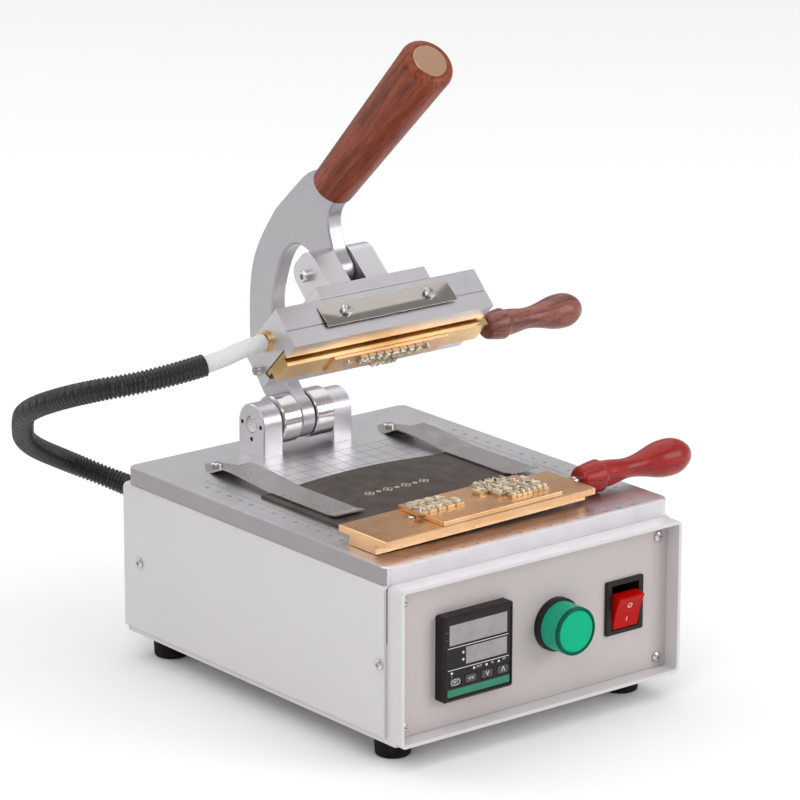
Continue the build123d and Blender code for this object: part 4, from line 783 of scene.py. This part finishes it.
def table_marks():
    """Rulers along three edges, ticked every 2 mm and numbered in cm, and a centimetre grid in the middle."""
    height = TABLE_TOP + MARK_PROUD / 2
    rows = []
    for x in range(GRID_X[0], GRID_X[1] + 1, GRID_STEP):
        rows.append((x, sum(GRID_Y) / 2, height, LINE, GRID_Y[1] - GRID_Y[0], MARK_PROUD))
    for y in range(GRID_Y[0], GRID_Y[1] + 1, GRID_STEP):
        rows.append((0, y, height, GRID_X[1] - GRID_X[0], LINE, MARK_PROUD))
    for side in (-1, 1):
        for step, y in enumerate(range(SIDE_RULER_Y[0], SIDE_RULER_Y[1] + 1, TICK_STEP)):
            length = tick_length(step)
            rows.append((side * (SIDE_RULER_X - length / 2), y, height, length, LINE, MARK_PROUD))
    for step, x in enumerate(range(FRONT_RULER_X[0], FRONT_RULER_X[1] + 1, TICK_STEP)):
        length = tick_length(step)
        rows.append((x, FRONT_RULER_Y - length / 2, height, LINE, length, MARK_PROUD))
    pieces = [boxes("marks", rows, ENGRAVED, Matrix.Translation(DATUM))]
    for number in RULER_NUMBERS:
        for side in (-1, 1):
            at = on_table(side * SIDE_NUMBER_X, SIDE_RULER_Y[0] + 10 * number, (0, side, 0))
            pieces.append(glyphs("number", str(number), SIDE_NUMBER_SIZE, MARK_PROUD, at, ENGRAVED))
        at = on_table(FRONT_RULER_X[0] + 10 * number - 5, FRONT_NUMBER_Y, RIGHT)
        pieces.append(glyphs("number", str(number), FRONT_NUMBER_SIZE, MARK_PROUD, at, ENGRAVED))
    marks = joined("table_engraving", pieces)
    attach(marks, "base")


table_marks()

# ================================================================ leather work piece
LEATHER_ARCH = 2.6
LEATHER_THICK = 1.5
LEATHER_FLAT = 0.35                          # share of its depth, from the front, that lies flat


def leather_height(x_share, y_share):
    """Rise above the table in mm: the rear edge bows up between the clips, the rest lies flat."""
    across = max(0.0, 1 - (2 * x_share - 1) ** 2 * 1.35)
    return LEATHER_ARCH * across ** 1.4 * max(0.0, (y_share - LEATHER_FLAT) / (1 - LEATHER_FLAT)) ** 2


def make_leather():
    """Leather sheet with its grain side up and a pale cut edge."""
    low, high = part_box("leather_piece")
    columns, rows = 90, 60
    work = bmesh.new()
    layers = []
    for level in (0, LEATHER_THICK * MM):
        grid = []
        for j in range(rows + 1):
            line = []
            for i in range(columns + 1):
                x = low.x + (high.x - low.x) * i / columns
                y = low.y + (high.y - low.y) * j / rows
                rise = leather_height(i / columns, j / rows) * MM
                line.append(work.verts.new((x, y, low.z + level + rise)))
            grid.append(line)
        layers.append(grid)
    for level, grid in enumerate(layers):
        for j in range(rows):
            for i in range(columns):
                corners = (grid[j][i], grid[j][i + 1], grid[j + 1][i + 1], grid[j + 1][i])
                work.faces.new(corners if level else corners[::-1]).material_index = 0
    bottom, top = layers
    rim = [(0, i) for i in range(columns)] + [(j, columns) for j in range(rows)]
    rim += [(rows, i) for i in range(columns, 0, -1)] + [(j, 0) for j in range(rows, 0, -1)]
    for (j, i), (j2, i2) in zip(rim, rim[1:] + rim[:1]):
        work.faces.new((bottom[j][i], bottom[j2][i2], top[j2][i2], top[j][i])).material_index = 1
    mesh = finished("leather_sample", work)
    smooth_by_angle(mesh, 40)
    sample = new_piece("leather_sample", mesh, LOOKS["black_leather"], "base")
    mesh.materials.append(CUT_EDGE)
    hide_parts("leather_piece")
    return sample


def drop_onto(piece, target, lift_mm):
    """Lays a flat piece on the target: each vertex keeps its own height, now above the surface below it."""
    ray_rise = 0.05
    tree = BVHTree.FromObject(target, bpy.context.evaluated_depsgraph_get())
    inverse = target.matrix_world.inverted()
    base = min(vertex.co.z for vertex in piece.data.vertices)
    for vertex in piece.data.vertices:
        above = Vector((vertex.co.x, vertex.co.y, vertex.co.z + ray_rise))
        hit = tree.ray_cast(inverse @ above, Vector((0, 0, -1)))[0]
        if hit is not None:
            vertex.co.z = hit.z + vertex.co.z - base + lift_mm * MM


sample = make_leather()
ORNAMENT_X, ORNAMENT_Y = -9.5, -9
ORNAMENT_PITCH, ORNAMENT_COUNT = 6.4, 7
ORNAMENT_SIZES = (4.6, 2.2)
ORNAMENT_LIFT = 10                           # clear of the leather, onto which it is then dropped
FOIL = 0.04


def foil_ornament():
    """Row of stamped diamonds, each a square outline with a cross in it, large and small in turn."""
    pieces = []
    for index in range(ORNAMENT_COUNT):
        x = ORNAMENT_X + ORNAMENT_PITCH * (index - (ORNAMENT_COUNT - 1) / 2)
        size = ORNAMENT_SIZES[index % 2]
        at = on_table(x, ORNAMENT_Y, (1, 1, 0), ORNAMENT_LIFT)
        rows = [(0, 0, 0, size, 0.45, FOIL), (0, 0, 0, 0.45, size, FOIL)]
        rows += [(side * size / 2, 0, 0, 0.4, size, FOIL) for side in (-1, 1)]
        rows += [(0, side * size / 2, 0, size, 0.4, FOIL) for side in (-1, 1)]
        pieces.append(boxes("diamond", rows, GOLD_FOIL, at))
    return joined("foil_ornament", pieces)


ornament = foil_ornament()
drop_onto(ornament, sample, 0.01)
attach(ornament, "base")

# ================================================================ front controls
case_low, case_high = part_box("controller_face")
FACE_Y = case_low.y / MM
case_x = (case_low.x + case_high.x) / 2 / MM
PRINT_PROUD = 0.05
# The controller's print: X is from the middle of its face and Z from the floor, in mm.
RULES = [(-0.9, 62.3, 42, 0.35), (-0.3, 50.0, 42, 0.35)]
GREEN_BAND = [(-0.35, 37.0, 43.0, 4.0)]
LEDS = [(-22.3, 71.6), (-22.3, 67.2), (-10.9, 58.6), (-10.9, 54.6),
        (-18.7, 48.2), (-3.4, 48.2), (5.2, 48.2), (13.7, 48.2)]
LED_OUTLINE = [(0, 0), (0, 0.75), (0.15, 0.7), (0.3, 0.35), (0.32, 0)]
LABELS = [(-18.7, 46.2, "I", 1.5), (0.2, 48.4, "OUT", 1.7), (9.4, 48.6, "AL", 1.7), (17.5, 48.8, "AT", 1.7)]
KEY_OVAL_WIDTH, KEY_OVAL_HEIGHT, KEY_OVAL_LINE = 5.6, 3.0, 0.28


def on_front(x, z, y):
    """Plane facing the front at X, Z and depth Y in mm."""
    return frame_at(Vector((x, y, z)) * MM, RIGHT, (0, -1, 0))


def face_bars(rows, material):
    """Flat bars printed on the controller: each row is (x, z, width, height) in mm."""
    return boxes("bars", [(case_x + x, FACE_Y - PRINT_PROUD / 2, z, width, PRINT_PROUD, height)
                          for x, z, width, height in rows], material)


def controller_print():
    """Printed lines, small lamps and labels of the temperature controller."""
    pieces = [face_bars(RULES, PRINT_WHITE), face_bars(GREEN_BAND, PRINT_GREEN)]
    for x, z in LEDS:
        pieces.append(lathe("led", LED_OUTLINE, on_front(case_x + x, z, FACE_Y), PRINT_WHITE, 20))
    for x, z, text, size in LABELS:
        pieces.append(glyphs("print", text, size, PRINT_PROUD, on_front(case_x + x, z, FACE_Y), PRINT_WHITE))
    printed = joined("controller_print", pieces)
    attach(printed, "base")


def key_oval(x, z, y):
    """Oval outline printed around a key's symbol, its middle at X, Z and depth Y in mm."""
    work = bmesh.new()
    steps = 40
    loops = []
    for line, depth in ((KEY_OVAL_LINE, 0), (0, 0), (0, PRINT_PROUD), (KEY_OVAL_LINE, PRINT_PROUD)):
        loop = []
        for i in range(steps):
            angle = 2 * pi * i / steps
            loop.append(work.verts.new(((x + (KEY_OVAL_WIDTH / 2 + line) * cos(angle)) * MM, (y - depth) * MM,
                                        (z + (KEY_OVAL_HEIGHT / 2 + line) * sin(angle)) * MM)))
        loops.append(loop)
    for first, second in zip(loops, loops[1:] + loops[:1]):
        for i in range(steps):
            j = (i + 1) % steps
            work.faces.new((first[i], first[j], second[j], second[i]))
    return new_piece("oval", finished("oval", work), PRINT_WHITE)


def key_symbol(node, body, text, size, oval=False):
    """Symbol printed on a key, which rides on the key's body."""
    low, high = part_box(node)
    x, z, y = (low.x + high.x) / 2 / MM, (low.z + high.z) / 2 / MM, low.y / MM
    pieces = [glyphs("symbol", text, size, PRINT_PROUD, on_front(x, z, y), PRINT_WHITE)]
    if oval:
        pieces.append(key_oval(x, z, y))
    symbol = joined(node + "_symbol", pieces)
    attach(symbol, body)


controller_print()
key_symbol("key_set", "set_key", "SET", 1.9, oval=True)
key_symbol("key_shift", "shift_key", "<<", 3.6)
key_symbol("key_down", "down_key", "V", 3.9)
key_symbol("key_up", "up_key", "Λ", 3.9)

# Pilot lamp: grooved side, dark rim and smooth face, drawn along local Z from the panel outwards.
LENS_WALL = 1.6
RIM_DEPTH = 2.2
GROOVES, GROOVE_START, GROOVE_PITCH, GROOVE_DEPTH = 5, 0.8, 2.0, 0.28
lens_low, lens_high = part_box("lamp_lens")
LENS_R = (lens_high.x - lens_low.x) / 2 / MM
lens_x, lens_z = (lens_low.x + lens_high.x) / 2 / MM, (lens_low.z + lens_high.z) / 2 / MM
lens_place = on_front(lens_x, lens_z, lens_high.y / MM)
LENS_H = (lens_high.y - lens_low.y) / MM
side_outline = [(0.0, LENS_R - LENS_WALL), (0.0, LENS_R)]
for groove in range(GROOVES):
    start = GROOVE_START + groove * GROOVE_PITCH
    side_outline += [(start, LENS_R), (start + 0.25, LENS_R - GROOVE_DEPTH),
                     (start + 0.75, LENS_R - GROOVE_DEPTH), (start + 1.0, LENS_R)]
side_outline += [(LENS_H - RIM_DEPTH, LENS_R), (LENS_H - RIM_DEPTH, LENS_R - LENS_WALL)]
lens_side = lathe("lens_side", side_outline, lens_place, LENS_SIDE, close=True)
rim_outline = [(LENS_H - RIM_DEPTH, LENS_R - LENS_WALL), (LENS_H - RIM_DEPTH, LENS_R - 0.05),
               (LENS_H - 0.7, LENS_R - 0.1), (LENS_H - 0.25, LENS_R - 0.45), (LENS_H - 0.05, LENS_R - 1.0),
               (LENS_H - 0.2, LENS_R - LENS_WALL)]
lens_rim = lathe("lens_rim", rim_outline, lens_place, LENS_RIM, close=True)
face_outline = [(LENS_H - 2.0, 0), (LENS_H - 2.0, LENS_R - 1.7), (LENS_H - 0.9, LENS_R - 1.7),
                (LENS_H - 0.45, LENS_R - 2.2), (LENS_H - 0.3, LENS_R - 5.0), (LENS_H - 0.22, 0)]
lens_face = lathe("lens_face", face_outline, lens_place, LOOKS["green_lens"])
for lens_piece in (lens_side, lens_rim, lens_face):
    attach(lens_piece, "base")
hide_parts("lamp_lens")

# Switch symbols on the rocker's dished face.
rocker_pivot = Vector(joints["switch_rock"]["pos_m"])
ROCKER_TILT = radians(17)
ROCKER_MARK_R = 8.78                         # pivot to the marks' feet, 0.8 mm short of the face's edges
ROCKER_MARK_SIZE, ROCKER_MARK_HEIGHT = 4.4, 0.25
rocker_out = Vector((0, -cos(ROCKER_TILT), -sin(ROCKER_TILT)))
rocker_up = Vector((0, -sin(ROCKER_TILT), cos(ROCKER_TILT)))


def rocker_mark(text, along):
    """Symbol on the rocker, along mm up its face from the pivot."""
    at = rocker_pivot + rocker_out * ROCKER_MARK_R * MM + rocker_up * along * MM
    face = frame_at(at, RIGHT, rocker_out)
    return glyphs("mark", text, ROCKER_MARK_SIZE, ROCKER_MARK_HEIGHT, face, PRINT_WHITE)


rocker_marks = joined("rocker_marks", [rocker_mark("O", 4.0), rocker_mark("I", -5.0)])
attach(rocker_marks, "switch_rocker")

# ================================================================ floor and light
FLOOR_SIZE = 14.0


def make_floor():
    mesh = bpy.data.meshes.new("floor")
    half = FLOOR_SIZE / 2
    corners = [(-half, -half, 0), (half, -half, 0), (half, half, 0), (-half, half, 0)]
    mesh.from_pydata(corners, [], [(0, 1, 2, 3)])
    floor = bpy.data.objects.new("floor", mesh)
    scene.collection.objects.link(floor)
    paint = Paint("floor", (0.92, 0.92, 0.92), roughness=0.9)
    paint.color(paint.mottle(paint.noise(900, detail=1), (0.945, 0.945, 0.945), (0.96, 0.96, 0.96)))
    paint_with(floor, paint.material)


def area_light(name, place, target, size, power):
    """Soft light at a place, turned towards the target: size is (width, height) in metres, power in watts."""
    data = bpy.data.lights.new(name, "AREA")
    data.shape = "RECTANGLE"
    data.size, data.size_y = size
    data.energy = power
    light = bpy.data.objects.new(name, data)
    scene.collection.objects.link(light)
    light.location = place
    light.rotation_mode = "QUATERNION"
    light.rotation_quaternion = (Vector(target) - Vector(place)).to_track_quat("-Z", "Y")


make_floor()
area_light("key", (-2.2, -1.6, 2.6), (0, 0, 0.15), (1.8, 1.8), 24)
area_light("fill", (1.8, -2.6, 1.4), (0, 0, 0.15), (2.0, 1.6), 38)
area_light("top", (0.2, 0.6, 3.0), (0, 0, 0.1), (4.4, 4.4), 58)
area_light("rim", (-1.5, 2.2, 1.6), (0, 0, 0.2), (1.6, 1.6), 10)

world = bpy.data.worlds.new("world")
scene.world = world
world.use_nodes = True
background = world.node_tree.nodes["Background"]
background.inputs["Color"].default_value = (1, 1, 1, 1)
background.inputs["Strength"].default_value = 0.5

scene.view_settings.view_transform = "Standard"
scene.view_settings.look = "None"
